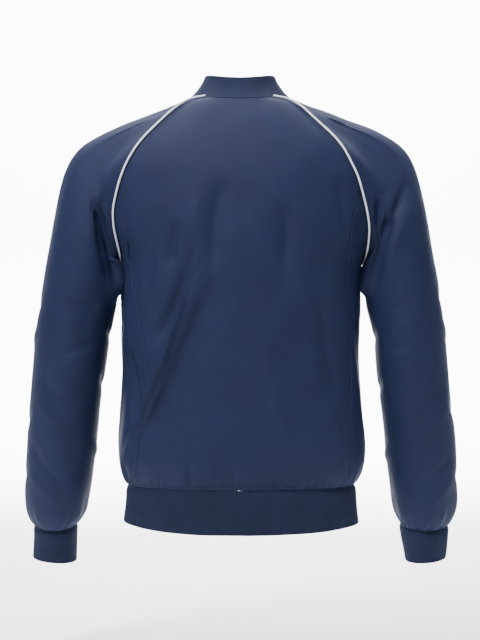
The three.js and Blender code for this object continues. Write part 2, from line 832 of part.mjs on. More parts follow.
// A closed wall between an outer and an inner grid of the same size.
function wallMesh(name, outer, inner, wraps) {
  const rows = outer.length;
  const count = outer[0].length;
  const vertices = [...outer.flat(), ...inner.flat()];
  const outerIndex = (row, column) => row * count + (column % count);
  const innerIndex = (row, column) => rows * count + outerIndex(row, column);
  const triangles = [];
  const quad = (a, b, c, d) => triangles.push([a, b, c], [a, c, d]);
  const lastColumn = wraps ? count : count - 1;
  for (let row = 0; row < rows - 1; row += 1) {
    for (let column = 0; column < lastColumn; column += 1) {
      quad(
        outerIndex(row, column),
        outerIndex(row + 1, column),
        outerIndex(row + 1, column + 1),
        outerIndex(row, column + 1),
      );
      quad(
        innerIndex(row, column + 1),
        innerIndex(row + 1, column + 1),
        innerIndex(row + 1, column),
        innerIndex(row, column),
      );
    }
  }
  for (let column = 0; column < lastColumn; column += 1) {
    quad(outerIndex(0, column), outerIndex(0, column + 1), innerIndex(0, column + 1), innerIndex(0, column));
    const end = rows - 1;
    const next = column + 1;
    quad(innerIndex(end, column), innerIndex(end, next), outerIndex(end, next), outerIndex(end, column));
  }
  for (let row = 0; !wraps && row < rows - 1; row += 1) {
    quad(innerIndex(row, 0), innerIndex(row + 1, 0), outerIndex(row + 1, 0), outerIndex(row, 0));
    const end = count - 1;
    quad(outerIndex(row, end), outerIndex(row + 1, end), innerIndex(row + 1, end), innerIndex(row, end));
  }
  return meshOf(name, vertices, triangles);
}

const sheetMesh = (sheet) => wallMesh(sheet.name, sheet.outer, sheet.inner, sheet.wraps);

// Piping: a round cord on each raglan seam, resting on the cloth at both sides of it.
function pipingMesh(name, sleeve, neighbours, seams) {
  const radius = 1.5;
  const clearance = 1.25;
  const leastOpenness = 0.26;
  const corners = 6;
  const count = 2 * raglanRows + sideColumns;
  const seam = sleeve.grid[0].slice(0, count + 1);
  const facing = new Map();
  for (const sheet of [sleeve, ...neighbours]) {
    forEdge(sheet, (row, column) => {
      const key = seams.key(sheet.grid[row][column]);
      facing.set(key, [...(facing.get(key) ?? []), sheet.normals[row][column]]);
    });
  }
  const centres = seam.map((spot) => {
    const outward = seams.at(spot);
    const openness = Math.min(...facing.get(seams.key(spot)).map((normal) => normal.dot(outward)));
    return spot.clone().addScaledVector(outward, (radius + clearance) / Math.max(openness, leastOpenness));
  });
  const rings = centres.map((centre, index) => {
    const along = unit(centres[Math.min(index + 1, count)].clone().sub(centres[Math.max(index - 1, 0)]));
    const outward = seams.at(seam[index]);
    const sideways = unit(along.clone().cross(outward));
    const upright = unit(sideways.clone().cross(along));
    return steps(corners - 1).map((unused, corner) => {
      const angle = (2 * Math.PI * corner) / corners;
      return centre
        .clone()
        .addScaledVector(sideways, radius * Math.cos(angle))
        .addScaledVector(upright, radius * Math.sin(angle));
    });
  });
  return tubeMesh(name, rings);
}

// A closed solid through rings of points, with flat ends.
function tubeMesh(name, rings) {
  const corners = rings[0].length;
  const vertices = rings.flat();
  const triangles = [];
  for (let ring = 0; ring < rings.length - 1; ring += 1) {
    for (let corner = 0; corner < corners; corner += 1) {
      const next = (corner + 1) % corners;
      const a = ring * corners + corner;
      const b = ring * corners + next;
      triangles.push([a, b, b + corners], [a, b + corners, a + corners]);
    }
  }
  const last = (rings.length - 1) * corners;
  for (let corner = 1; corner < corners - 1; corner += 1) {
    triangles.push([0, corner + 1, corner], [last, last + corner, last + corner + 1]);
  }
  return meshOf(name, vertices, triangles);
}

// Zip

// Places down the front edge of one side: the inner face of the cloth by the opening, and its directions.
function frontEdgeStations(sheets) {
  return sheets.flatMap(({ sheet, rows, edge, inside }) =>
    rows.map((row) => {
      const start = sheet.inner[row][edge];
      const along = unit(sheet.inner[row][inside].clone().sub(start));
      return { start, along, inward: sheet.shared[row][edge].clone().negate() };
    }),
  );
}

function tapeMesh(name, stations) {
  const offsets = [chainHalfWidth + 0.4 - zipHalfOpening, 0, tapeBehindPanel];
  const layer = (depth) =>
    stations.map(({ start, along, inward }) =>
      offsets.map((offset) => {
        const spot = start.clone().addScaledVector(along, offset);
        return spot.addScaledVector(inward, tapeClearance + depth);
      }),
    );
  return wallMesh(name, layer(0), layer(tapeThickness), false);
}

// The middle line of the zip, from the stations of both sides.
function zipLine(leftStations, rightStations) {
  return leftStations.map((station, index) => {
    const other = rightStations[index];
    const middle = station.start.clone().add(other.start).multiplyScalar(0.5).setX(0);
    const inward = unit(station.inward.clone().add(other.inward).setX(0));
    return { place: middle.addScaledVector(inward, tapeClearance + tapeThickness / 2), inward };
  });
}

function chainMesh(name, line) {
  const half = chainThickness / 2;
  const rings = line.map(({ place, inward }) =>
    [
      [-chainHalfWidth, -half],
      [chainHalfWidth, -half],
      [chainHalfWidth, half],
      [-chainHalfWidth, half],
    ].map(([across, depth]) => place.clone().addScaledVector(inward, depth).add(point(across, 0, 0))),
  );
  return tubeMesh(name, rings);
}

const wasm = await Module();
wasm.setup();

function solidFrom(geometry) {
  const bare = new THREE.BufferGeometry().setAttribute("position", geometry.getAttribute("position"));
  const merged = mergeVertices(bare.setIndex(geometry.index), 1e-3);
  const vertProperties = new Float32Array(merged.getAttribute("position").array);
  const triVerts = new Uint32Array(merged.index.array);
  return new wasm.Manifold(new wasm.Mesh({ numProp: 3, vertProperties, triVerts }));
}

function meshFromSolid(name, solid, frame) {
  const made = solid.getMesh();
  const vertices = [];
  for (let index = 0; index < made.numVert; index += 1) {
    const [x, y, z] = made.vertProperties.subarray(index * made.numProp, index * made.numProp + 3);
    vertices.push(point(x, y, z).applyMatrix4(frame));
  }
  const triangles = [];
  for (let index = 0; index < made.numTri; index += 1) {
    triangles.push([...made.triVerts.subarray(index * 3, index * 3 + 3)]);
  }
  return meshOf(name, vertices, triangles);
}

function box(width, depth, height, x, y, z) {
  return new THREE.BoxGeometry(width, depth, height).translate(x, y, z);
}

// The slider stands round the top of the chain, with a bridge in front that holds the pull. In its own frame
// the outside of the jacket is -Y, up the zip is +Z, and the origin is the middle of the chain.
const slider = {
  width: 8.4,
  plate: 1.7,
  slot: 1.8,
  height: 11,
  bridgeWidth: 2.2,
  bridgeDepth: 4,
  bridgeBar: 1.1,
};
const pull = { width: 5.2, length: 21, thickness: 1.2, eyeHeight: 5.2, armWidth: 1 };
const sliderFace = -slider.slot / 2 - slider.plate;
const pullAxisDepth = sliderFace - slider.bridgeDepth + slider.bridgeBar + 1.35;

function sliderSolid() {
  const outline = new THREE.Shape();
  const half = slider.width / 2;
  outline.moveTo(-half * 0.62, -slider.height / 2);
  outline.lineTo(half * 0.62, -slider.height / 2);
  outline.lineTo(half, slider.height * 0.12);
  outline.lineTo(half, slider.height * 0.4);
  outline.lineTo(half * 0.7, slider.height / 2);
  outline.lineTo(-half * 0.7, slider.height / 2);
  outline.lineTo(-half, slider.height * 0.4);
  outline.lineTo(-half, slider.height * 0.12);
  outline.closePath();
  const plate = (depth) => {
    const made = new THREE.ExtrudeGeometry(outline, { depth: slider.plate, bevelEnabled: false });
    return made.rotateX(Math.PI / 2).translate(0, depth + slider.plate, 0);
  };
  const core = box(2 * chainHalfWidth, slider.slot + 1, slider.height * 0.8, 0, 0, 0);
  const legDepth = slider.bridgeDepth + 1;
  const legHeight = 1.2;
  const legAway = 3.8;
  const leg = (z) => box(slider.bridgeWidth, legDepth, legHeight, 0, sliderFace + 1 - legDepth / 2, z);
  const barDepth = sliderFace - slider.bridgeDepth + slider.bridgeBar / 2;
  const bar = box(slider.bridgeWidth, slider.bridgeBar, 2 * legAway + legHeight, 0, barDepth, 0);
  const pieces = [plate(sliderFace), plate(slider.slot / 2), core, leg(legAway), leg(-legAway), bar];
  return wasm.Manifold.union(pieces.map(solidFrom));
}

// The pull in the same frame, hanging from its top bar, which passes under the bridge.
function pullSolid() {
  const half = pull.width / 2;
  const outline = new THREE.Shape();
  outline.moveTo(half * 0.8, 0.6);
  outline.lineTo(-half * 0.8, 0.6);
  outline.lineTo(-half, -3);
  outline.lineTo(-half, -pull.length + 2);
  outline.lineTo(-half * 0.6, -pull.length);
  outline.lineTo(half * 0.6, -pull.length);
  outline.lineTo(half, -pull.length + 2);
  outline.lineTo(half, -3);
  outline.closePath();
  const eye = new THREE.Path();
  const eyeHalf = half - pull.armWidth;
  eye.moveTo(-eyeHalf, -0.6);
  eye.lineTo(eyeHalf, -0.6);
  eye.lineTo(eyeHalf, -0.6 - pull.eyeHeight);
  eye.lineTo(-eyeHalf, -0.6 - pull.eyeHeight);
  eye.closePath();
  outline.holes.push(eye);
  const plate = new THREE.ExtrudeGeometry(outline, { depth: pull.thickness, bevelEnabled: false });
  plate.translate(0, 0, -pull.thickness / 2).rotateX(Math.PI / 2).translate(0, pullAxisDepth, 0);
  return solidFrom(plate);
}

// Assembly

const jacket = new THREE.Group();
jacket.name = "track_jacket";

const sheets = { back: makeSheet("back", backGrid(), clothThickness) };
for (const side of [left, right]) {
  const name = sideNames[side];
  const turned = side === right;
  const sidePanel = makeSheet("side_" + name, sideGrid(side), clothThickness, false, !turned);
  const frontPanel = makeSheet("front_" + name, frontGrid(side), clothThickness, false, turned);
  const loop = armholeLoop(side, sheets.back.grid, sidePanel.grid, frontPanel.grid);
  const sleeve = makeSheet("sleeve_" + name, sleeveGrid(side, loop), clothThickness, true, turned);
  const cuff = makeSheet("cuff_" + name, cuffGrid(side), ribThickness, true, turned);
  Object.assign(sheets, {
    ["side_" + name]: sidePanel,
    ["front_" + name]: frontPanel,
    ["sleeve_" + name]: sleeve,
    ["cuff_" + name]: cuff,
  });
}

function loopRound(backRow, frontRows, between) {
  const frontLeft = sheets.front_left.grid.at(frontRows);
  const frontRight = sheets.front_right.grid.at(frontRows);
  const backEdge = sheets.back.grid.at(backRow);
  const leftHalf = [...frontLeft, ...between(left)];
  const rightHalf = [...frontRight, ...between(right)].reverse();
  return [...leftHalf, ...backEdge, ...rightHalf];
}

const neckPoints = loopRound(0, 0, (side) => neckEdge(side).slice(1, -1));
const hemPoints = loopRound(-1, -1, (side) => {
  return sheets["side_" + sideNames[side]].grid.at(-1).slice(1, -1).reverse();
});
sheets.collar = makeSheet("collar", collarGrid(neckPoints), ribThickness, false, true);
sheets.hem_band = makeSheet("hem_band", hemBandGrid(hemPoints), ribThickness);

const seams = new SeamDirections();
Object.values(sheets).forEach((sheet) => seams.add(sheet));
Object.values(sheets).forEach((sheet) => finishSheet(sheet, seams));
Object.values(sheets).forEach((sheet) => jacket.add(sheetMesh(sheet)));

for (const side of [left, right]) {
  const name = sideNames[side];
  const neighbours = [sheets.back, sheets["side_" + name], sheets["front_" + name]];
  jacket.add(pipingMesh("piping_" + name, sheets["sleeve_" + name], neighbours, seams));
}

const collarRows = steps(ribRows).map((share) => Math.round(ribRows * (1 - share)));
const frontRows = steps(sheets.front_left.grid.length - 1).map((share, row) => row);
const bandRows = steps(ribRows).map((share, row) => row);

function stationsOf(side) {
  const first = side === left;
  const frontPanel = sheets["front_" + sideNames[side]];
  const lastCollar = sheets.collar.grid[0].length - 1;
  const lastBand = sheets.hem_band.grid[0].length - 1;
  const endColumns = (last) => (first ? { edge: 0, inside: 1 } : { edge: last, inside: last - 1 });
  return frontEdgeStations([
    { sheet: sheets.collar, rows: collarRows, ...endColumns(lastCollar) },
    { sheet: frontPanel, rows: frontRows, edge: 0, inside: 1 },
    { sheet: sheets.hem_band, rows: bandRows, ...endColumns(lastBand) },
  ]);
}

const leftStations = stationsOf(left);
const rightStations = stationsOf(right);
jacket.add(tapeMesh("zip_tape_left", leftStations));
jacket.add(tapeMesh("zip_tape_right", rightStations));

// The slider sits below the top end of the tapes, and the chain ends just under it.
const line = zipLine(leftStations, rightStations);
const sliderBelowTop = 9;
const collarTopPlace = line[0].place;
const zipUp = unit(line[0].place.clone().sub(line[2].place));
const zipInward = unit(point(1, 0, 0).cross(zipUp).negate());
const sliderPlace = collarTopPlace.clone().addScaledVector(zipUp, -sliderBelowTop);
const sliderFrame = new THREE.Matrix4().makeBasis(point(1, 0, 0), zipInward, zipUp).setPosition(sliderPlace);
jacket.add(meshFromSolid("zip_slider", sliderSolid(), sliderFrame));
jacket.add(meshFromSolid("zip_pull", pullSolid(), sliderFrame));

const chainTop = sliderPlace.clone().addScaledVector(zipUp, -slider.height / 2 - 0.4);
const below = line.filter(({ place }) => place.clone().sub(chainTop).dot(zipUp) < -1);
const boxHeight = 9;
const bottom = below[below.length - 1];
const chainEnd = { place: bottom.place.clone().add(point(0, 0, boxHeight + 0.8)), inward: bottom.inward };
const chainLine = [{ place: chainTop, inward: zipInward }, ...below.slice(0, -1), chainEnd];
jacket.add(chainMesh("zip_chain", chainLine));
const boxTop = { place: bottom.place.clone().add(point(0, 0, boxHeight + 0.4)), inward: bottom.inward };
const boxEnd = { place: bottom.place.clone().add(point(0, 0, 0.4)), inward: bottom.inward };
jacket.add(chainMesh("zip_box", [boxTop, boxEnd]));

export default jacket;
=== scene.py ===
import math

import bmesh
import bpy
import numpy as np
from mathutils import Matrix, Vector


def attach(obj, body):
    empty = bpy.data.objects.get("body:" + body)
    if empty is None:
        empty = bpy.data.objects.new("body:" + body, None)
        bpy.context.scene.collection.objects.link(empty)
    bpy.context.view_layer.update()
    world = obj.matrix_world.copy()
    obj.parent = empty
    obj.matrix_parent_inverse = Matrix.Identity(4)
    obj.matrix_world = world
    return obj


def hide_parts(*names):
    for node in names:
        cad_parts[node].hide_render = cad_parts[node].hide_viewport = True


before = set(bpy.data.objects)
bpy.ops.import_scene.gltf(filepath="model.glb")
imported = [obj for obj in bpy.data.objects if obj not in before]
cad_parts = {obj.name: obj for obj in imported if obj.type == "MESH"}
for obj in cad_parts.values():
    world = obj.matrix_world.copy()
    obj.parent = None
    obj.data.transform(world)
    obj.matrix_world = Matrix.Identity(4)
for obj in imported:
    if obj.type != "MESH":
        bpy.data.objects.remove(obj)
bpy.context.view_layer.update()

mm = 0.001
up = np.array([0.0, 0.0, 1.0])


def table(columns, rows):
    names = columns.split()
    return [dict(zip(names, row)) for row in rows]


def smoothstep(low, high, values):
    share = np.clip((values - low) / (high - low), 0, 1)
    return share * share * (3 - 2 * share)


def unit(vectors):
    lengths = np.linalg.norm(vectors, axis=-1, keepdims=True)
    return vectors / np.maximum(lengths, 1e-12)


# The CAD walls are grids of points with a second grid inside them. Their outer grids are found again here.

def weldedTriangles(node):
    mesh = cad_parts[node].data
    points = np.array([vertex.co for vertex in mesh.vertices])
    welded, index = np.unique(np.round(points, 6), axis=0, return_inverse=True)
    index = index.reshape(-1)
    triangles = np.array([[index[corner] for corner in face.vertices] for face in mesh.polygons])
    return welded, triangles


def edgeLengths(points, triangles):
    corners = points[triangles]
    return np.linalg.norm(np.roll(corners, -1, axis=1) - corners, axis=2)


# Parts of the surface that share no point
def separateParts(triangles):
    group = {}

    def top(item):
        while group.setdefault(item, item) != item:
            item = group[item]
        return item

    for triangle in triangles:
        for corner in triangle[1:]:
            group[top(corner)] = top(triangle[0])
    parts = {}
    for triangle in triangles:
        parts.setdefault(top(triangle[0]), []).append(triangle)
    return [np.array(part) for part in parts.values()]


def areaOf(points, triangles):
    corners = points[triangles]
    crossed = np.cross(corners[:, 1] - corners[:, 0], corners[:, 2] - corners[:, 0])
    return np.linalg.norm(crossed, axis=1).sum() / 2


# Every triangle has one edge along a row, one along a column and one across a cell, in one turning order.
def labelEdges(triangles):
    edges = {}
    for number, triangle in enumerate(triangles):
        for corner in range(3):
            edges[(triangle[corner], triangle[(corner + 1) % 3])] = (number, corner)
    offset = {0: 0}
    sign = {0: 1}
    order = [0]
    border = []
    for number in order:
        triangle = triangles[number]
        for corner in range(3):
            label = (corner + offset[number]) % 3
            twin = edges.get((triangle[(corner + 1) % 3], triangle[corner]))
            if twin is None:
                border.append(label)
            elif twin[0] not in offset:
                offset[twin[0]] = (label - twin[1]) % 3
                sign[twin[0]] = -sign[number]
                order.append(twin[0])
    return order, offset, sign, border


def wallGrid(node):
    points, triangles = weldedTriangles(node)
    corners = points[triangles]
    edges = np.roll(corners, -1, axis=1) - corners
    lengths = np.linalg.norm(edges, axis=2)
    grain = 0.001 * mm
    values, counts = np.unique(np.round(lengths / grain), return_counts=True)
    thickness = values[counts.argmax()] * grain  # the edges through the wall all have one length
    facing = np.zeros_like(points)
    for corner in range(3):
        np.add.at(facing, triangles[:, corner], np.cross(edges[:, 0], edges[:, 1]))
    turned = unit(facing)[triangles]
    rays = unit(edges)
    atStart = np.abs((rays * turned).sum(axis=2))
    atEnd = np.abs((rays * np.roll(turned, -1, axis=1)).sum(axis=2))
    upright = np.maximum(atStart, atEnd) > 0.4
    faces = triangles[~((np.abs(lengths - thickness) < 1.5 * grain) & upright).any(axis=1)]
    outer = max(separateParts(faces), key=lambda part: areaOf(points, part))
    order, offset, sign, border = labelEdges(outer)
    lengths = edgeLengths(points, outer)
    labels = np.array([
        [(corner + offset[number]) % 3 for corner in range(3)] for number in range(len(outer))
    ])
    means = [lengths[labels == label].mean() for label in range(3)]
    inside = [label for label in range(3) if label not in border]
    diagonal = max(inside, key=lambda label: means[label])
    others = [label for label in range(3) if label != diagonal]
    corners = points[outer]
    rises = np.abs(np.roll(corners, -1, axis=1) - corners)[:, :, 2]
    wraps = len(inside) > 1
    if wraps:
        down = [label for label in others if label in inside][0]
    else:
        down = max(others, key=lambda label: rises[labels == label].mean() / means[label])
    place = {outer[0][0]: (0, 0)}
    for number in order:
        triangle = outer[number]
        known = [corner for corner in range(3) if triangle[corner] in place][0]
        row, column = place[triangle[known]]
        for step in range(2):
            corner = (known + step) % 3
            label = (corner + offset[number]) % 3
            turn = sign[number]
            if label == down:
                row += turn
            elif label == diagonal:
                row -= turn
                column -= turn
            else:
                column += turn
            place.setdefault(triangle[(corner + 1) % 3], (row, column))
    rows = [row for row, column in place.values()]
    columns = [column for row, column in place.values()]
    rowCount = max(rows) - min(rows) + 1
    columnCount = len(place) // rowCount
    grid = np.zeros((rowCount, columnCount, 3))
    for vertex, (row, column) in place.items():
        grid[row - min(rows), (column - min(columns)) % columnCount] = points[vertex]
    if grid[0, :, 2].mean() < grid[-1, :, 2].mean():
        grid = grid[::-1]
    normals = gridNormals(grid, wraps)
    faceNormal = np.cross(corners[:, 1] - corners[:, 0], corners[:, 2] - corners[:, 0])
    centres = corners.mean(axis=1)
    middle = grid.reshape(-1, 3)[rowCount // 2 * columnCount + columnCount // 2]
    nearest = np.argmin(np.linalg.norm(centres - middle, axis=1))
    if normals[rowCount // 2, columnCount // 2] @ faceNormal[nearest] < 0:
        grid = grid[:, ::-1]
    return {"grid": grid, "wraps": wraps, "thickness": thickness}


def gridNormals(grid, wraps):
    down = np.gradient(grid, axis=0)
    if wraps:
        across = (np.roll(grid, -1, axis=1) - np.roll(grid, 1, axis=1)) / 2
    else:
        across = np.gradient(grid, axis=1)
    return unit(np.cross(down, across))


# Weights of a smooth curve near the grid's points: softness 0 goes through them and 1 evens them out.
def curveWeights(places, count, wraps, softness):
    weights = np.zeros((len(places), count))
    for line, place in enumerate(places):
        cell = int(place) if wraps else min(int(place), count - 2)
        t = place - cell
        through = np.array([
            -t + 2 * t**2 - t**3, 2 - 5 * t**2 + 3 * t**3, t + 4 * t**2 - 3 * t**3, t**3 - t**2,
        ]) / 2
        evened = np.array([
            (1 - t) ** 3, 3 * t**3 - 6 * t**2 + 4, -3 * t**3 + 3 * t**2 + 3 * t + 1, t**3,
        ]) / 6
        for shift, weight in enumerate((1 - softness) * through + softness * evened):
            index = cell + shift - 1
            if wraps:
                weights[line, index % count] += weight
            elif index < 0:
                weights[line, 0] += 2 * weight
                weights[line, 1] -= weight
            elif index >= count:
                weights[line, count - 1] += 2 * weight
                weights[line, count - 2] -= weight
            else:
                weights[line, index] += weight
    return weights


# Places along a row or column, closer together next to the cut edges.
def samplePlaces(count, perCell, wraps):
    if wraps:
        return np.arange(count * perCell) / perCell
    places = np.arange((count - 1) * perCell + 1) / perCell
    nearEdge = np.array([0.035, 0.075, 0.12, 0.18, 0.25])
    return np.unique(np.round(np.concatenate([places, nearEdge, count - 1 - nearEdge]), 5))


def runLengths(grid, axis):
    steps = np.linalg.norm(np.diff(grid, axis=axis), axis=2)
    zero = np.zeros_like(np.take(steps, [0], axis=axis))
    return np.concatenate([zero, np.cumsum(steps, axis=axis)], axis=axis)


# Folds are drawn on the picture plane of one side of the jacket and fade where the cloth turns away from it.
viewAxes = {
    "back": (0, np.array([0, 1, 0])),
    "front": (0, np.array([0, -1, 0])),
    "left": (1, np.array([1, 0, 0])),
    "right": (1, np.array([-1, 0, 0])),
}


def foldPath(corners):
    corners = np.array(corners, dtype=float)
    places = np.linspace(0, len(corners) - 1, 6 * len(corners))
    return curveWeights(places, len(corners), False, 0.3) @ corners


def foldRise(points, normals, fold):
    axis, facing = viewAxes[fold["seenFrom"]]
    flat = points[:, [axis, 2]] / mm
    path = foldPath(fold["path"])
    starts, ends = path[:-1], path[1:]
    spans = ends - starts
    offsets = flat[:, None, :] - starts[None]
    shares = np.clip((offsets * spans).sum(2) / (spans * spans).sum(1), 0, 1)
    gaps = offsets - shares[:, :, None] * spans
    distances = np.linalg.norm(gaps, axis=2)
    nearest = distances.argmin(axis=1)
    line = np.arange(len(flat))
    distance = distances[line, nearest]
    along = (nearest + shares[line, nearest]) / len(spans)
    turned = spans[nearest, 0] * gaps[line, nearest, 1] - spans[nearest, 1] * gaps[line, nearest, 0]
    width = fold["width"] * np.where(turned > 0, 1 + fold["lean"], 1 - fold["lean"])
    fade = smoothstep(0, 0.28, along) * smoothstep(0, 0.28, 1 - along)
    seen = smoothstep(0.02, 0.4, normals @ facing)
    return fold["rise"] * mm * fade * seen * np.exp(-((distance / width) ** 2))


# widths, rises and paths in mm, and the lean makes one flank wider than the other
foldColumns = "seenFrom width rise lean path"
bodyFolds = table(foldColumns, [
    ("back", 4, 7, 0.3, [
        (50, -222), (62, -250), (74, -277), (85, -322), (101, -369), (111, -400), (127, -431), (140, -467),
        (152, -493), (168, -532), (184, -576),
    ]),
    ("back", 3, 4, 0, [(108, -424), (128, -462), (143, -500), (158, -548)]),
    ("back", 9, -10, 0, [(66, -230), (83, -286), (98, -322), (114, -353), (126, -390)]),
    ("back", 11, -4.5, 0.2, [
        (30, -276), (39, -293), (63, -343), (93, -413), (108, -451), (128, -496), (138, -522),
    ]),
    ("back", 9, -9, 0, [(170, -372), (160, -420), (152, -470), (154, -520)]),
    ("back", 10, -4, 0, [(20, -126), (34, -174), (38, -214), (42, -306)]),
    ("back", 6, -4, 0.2, [(91, -192), (96, -226), (102, -266)]),
    ("back", 6, -3.6, -0.2, [(126, -232), (131, -264), (140, -306)]),
    ("back", 6, -2.4, 0, [(184, -140), (187, -176), (188, -222)]),
    ("back", 8, 1.6, 0, [(58, -150), (66, -190), (66, -236)]),
    ("back", 8, -2.6, 0, [(-66, -172), (-68, -220), (-64, -274)]),
    ("back", 7, -3, 0.2, [(-142, -126), (-151, -166), (-160, -214)]),
    ("back", 8, -2.8, 0, [(-116, -300), (-126, -370), (-138, -452)]),
    ("back", 6, -2.6, 0, [(-184, -182), (-188, -208), (-186, -240)]),
    ("back", 10, 1.6, 0, [(-98, -330), (-106, -400), (-104, -470)]),
    ("back", 9, -1.5, 0, [(-30, -360), (-34, -430), (-52, -500)]),
    ("back", 6, -1.6, 0, [(-150, -470), (-156, -520), (-150, -560)]),
    ("front", 8, 3.4, 0.3, [(-60, -240), (-90, -330), (-124, -430), (-160, -510), (-176, -560)]),
    ("front", 9, -3, 0, [(-84, -246), (-106, -312), (-132, -376)]),
    ("front", 9, -2.6, 0.2, [(-40, -300), (-76, -382), (-118, -474), (-132, -520)]),
    ("front", 8, 2.4, -0.2, [(150, -232), (126, -290), (84, -346)]),
    ("front", 9, -2.6, 0, [(134, -244), (110, -300), (72, -356)]),
    ("front", 8, 2.4, 0.3, [(64, -330), (90, -420), (116, -500), (136, -560)]),
    ("front", 9, -2.4, 0, [(44, -344), (72, -440), (102, -552)]),
    ("front", 8, -1.8, 0, [(-104, -146), (-88, -196), (-66, -244)]),
    ("front", 8, -1.8, 0, [(108, -142), (94, -192), (76, -240)]),
    ("left", 12, 2.6, 0, [(-10, -232), (-10, -262), (-10, -290), (-8, -322)]),
    ("left", 8, -2.6, 0, [(60, -250), (24, -320), (-20, -380)]),
    ("left", 8, 2.4, 0.2, [(70, -300), (36, -390), (4, -500), (-10, -560)]),
    ("left", 8, -2.4, 0, [(-60, -330), (-40, -420), (-34, -540)]),
    ("right", 12, 1.6, 0, [(-10, -236), (-10, -266), (-10, -290), (-8, -316)]),
    ("right", 8, -2.6, 0, [(56, -260), (20, -330), (-28, -396)]),
    ("right", 8, 2.2, 0.2, [(64, -330), (44, -430), (22, -540)]),
    ("right", 8, -2.2, 0, [(-56, -300), (-48, -420), (-36, -550)]),
])
sleeveFolds = {
    "sleeve_left": table(foldColumns, [
        ("right", 10, 8.5, 0, [(31, -224), (31, -252), (31, -280), (31, -310)]),
        ("back", 7, -9, 0.2, [(222, -156), (209, -182), (195, -221), (187, -257), (184, -306)]),
        ("back", 7, -2, 0, [(213, -126), (203, -155), (202, -186)]),
        ("back", 7, 2, 0, [(232, -150), (220, -192), (208, -236), (204, -280)]),
        ("back", 8, -2.6, 0.2, [(206, -330), (232, -318), (262, -322)]),
        ("back", 8, 2.2, 0, [(208, -352), (238, -342), (274, -350)]),
        ("back", 7, -2.6, 0, [(212, -376), (240, -380), (276, -400)]),
        ("back", 7, -2, 0, [(300, -420), (276, -452), (240, -470)]),
        ("back", 8, 1.8, 0, [(306, -446), (284, -486), (248, -508)]),
        ("back", 7, -2.2, 0, [(318, -520), (296, -560), (262, -590)]),
        ("back", 7, 2, 0, [(322, -560), (300, -596), (270, -616)]),
        ("left", 9, -2.2, 0, [(36, -300), (4, -330), (-34, -344)]),
        ("left", 9, 2, 0, [(40, -350), (0, -372), (-36, -372)]),
        ("left", 8, -2.2, 0, [(30, -470), (-6, -500), (-46, -508)]),
        ("left", 8, -2, 0, [(10, -560), (-28, -586), (-66, -590)]),
        ("front", 7, -3.6, 0.2, [(222, -180), (206, -220), (192, -260), (190, -306)]),
        ("front", 8, -2.6, 0, [(208, -350), (236, -336), (270, -334)]),
        ("front", 8, 2.4, 0, [(212, -384), (244, -372), (282, -376)]),
        ("front", 8, -2.6, 0, [(216, -412), (248, -410), (288, -424)]),
        ("front", 8, -2.2, 0, [(310, -500), (282, -536), (250, -552)]),
        ("right", 8, -2.4, 0, [(40, -350), (4, -366), (-34, -352)]),
        ("right", 8, -2.4, 0, [(34, -420), (0, -440), (-40, -430)]),
        ("right", 8, 2, 0, [(20, -520), (-16, -540), (-52, -532)]),
    ]),
    "sleeve_right": table(foldColumns, [
        ("left", 10, 8, 0, [(31, -224), (31, -252), (31, -280), (31, -310)]),
        ("back", 6, -8, -0.2, [(-210, -142), (-205, -170), (-203, -189), (-194, -226), (-190, -270)]),
        ("back", 7, -7, 0, [
            (-254, -112), (-240, -161), (-216, -205), (-206, -233), (-200, -262), (-197, -344),
        ]),
        ("back", 7, 2.2, 0, [(-268, -150), (-246, -196), (-224, -240), (-214, -290)]),
        ("back", 8, -2.4, 0.2, [(-214, -330), (-240, -316), (-272, -306)]),
        ("back", 8, 2.2, 0, [(-214, -360), (-246, -346), (-286, -344)]),
        ("back", 7, -2.6, 0, [(-216, -386), (-250, -380), (-290, -392)]),
        ("back", 8, -2, 0, [(-310, -430), (-284, -462), (-248, -478)]),
        ("back", 8, 1.8, 0, [(-314, -466), (-290, -500), (-252, -520)]),
        ("back", 7, -2.4, 0, [(-322, -540), (-298, -572), (-268, -600)]),
        ("back", 7, 2, 0, [(-326, -576), (-304, -606), (-276, -622)]),
        ("right", 9, -2.2, 0, [(38, -290), (2, -316), (-36, -330)]),
        ("right", 9, 2, 0, [(40, -340), (2, -362), (-36, -366)]),
        ("right", 8, -2.2, 0, [(30, -456), (-8, -486), (-48, -500)]),
        ("right", 8, -2, 0, [(8, -566), (-30, -588), (-66, -596)]),
        ("front", 7, -3.6, -0.2, [(-224, -176), (-210, -214), (-196, -256), (-194, -310)]),
        ("front", 8, -2.6, 0, [(-212, -346), (-240, -330), (-276, -330)]),
        ("front", 8, 2.4, 0, [(-214, -380), (-248, -366), (-290, -370)]),
        ("front", 8, -2.6, 0, [(-220, -410), (-252, -408), (-294, -420)]),
        ("front", 8, -2.2, 0, [(-312, -510), (-284, -544), (-254, -560)]),
        ("left", 8, -2.4, 0, [(38, -356), (2, -370), (-36, -360)]),
        ("left", 8, -2.4, 0, [(32, -430), (-2, -446), (-42, -440)]),
        ("left", 8, 2, 0, [(18, -530), (-18, -548), (-54, -540)]),
    ]),
}


restless = {
    "waves": 14, "length": (30, 90), "size": (0.05, 0.12), "usualLength": 50, "upright": 0.55, "seed": 41,
}


# Small hollows and rises all over the cloth, from a few long waves in random directions
def restlessRise(points, seed):
    chance = np.random.RandomState(seed)
    rise = np.zeros(len(points))
    for wave in range(restless["waves"]):
        direction = unit(chance.normal(size=3) * np.array([1, 1, restless["upright"]]))
        length = chance.uniform(*restless["length"]) * mm
        size = chance.uniform(*restless["size"]) * mm * (length / (restless["usualLength"] * mm))
        rise += size * np.sin(points @ direction * 2 * math.pi / length + chance.uniform(0, 2 * math.pi))
    return rise


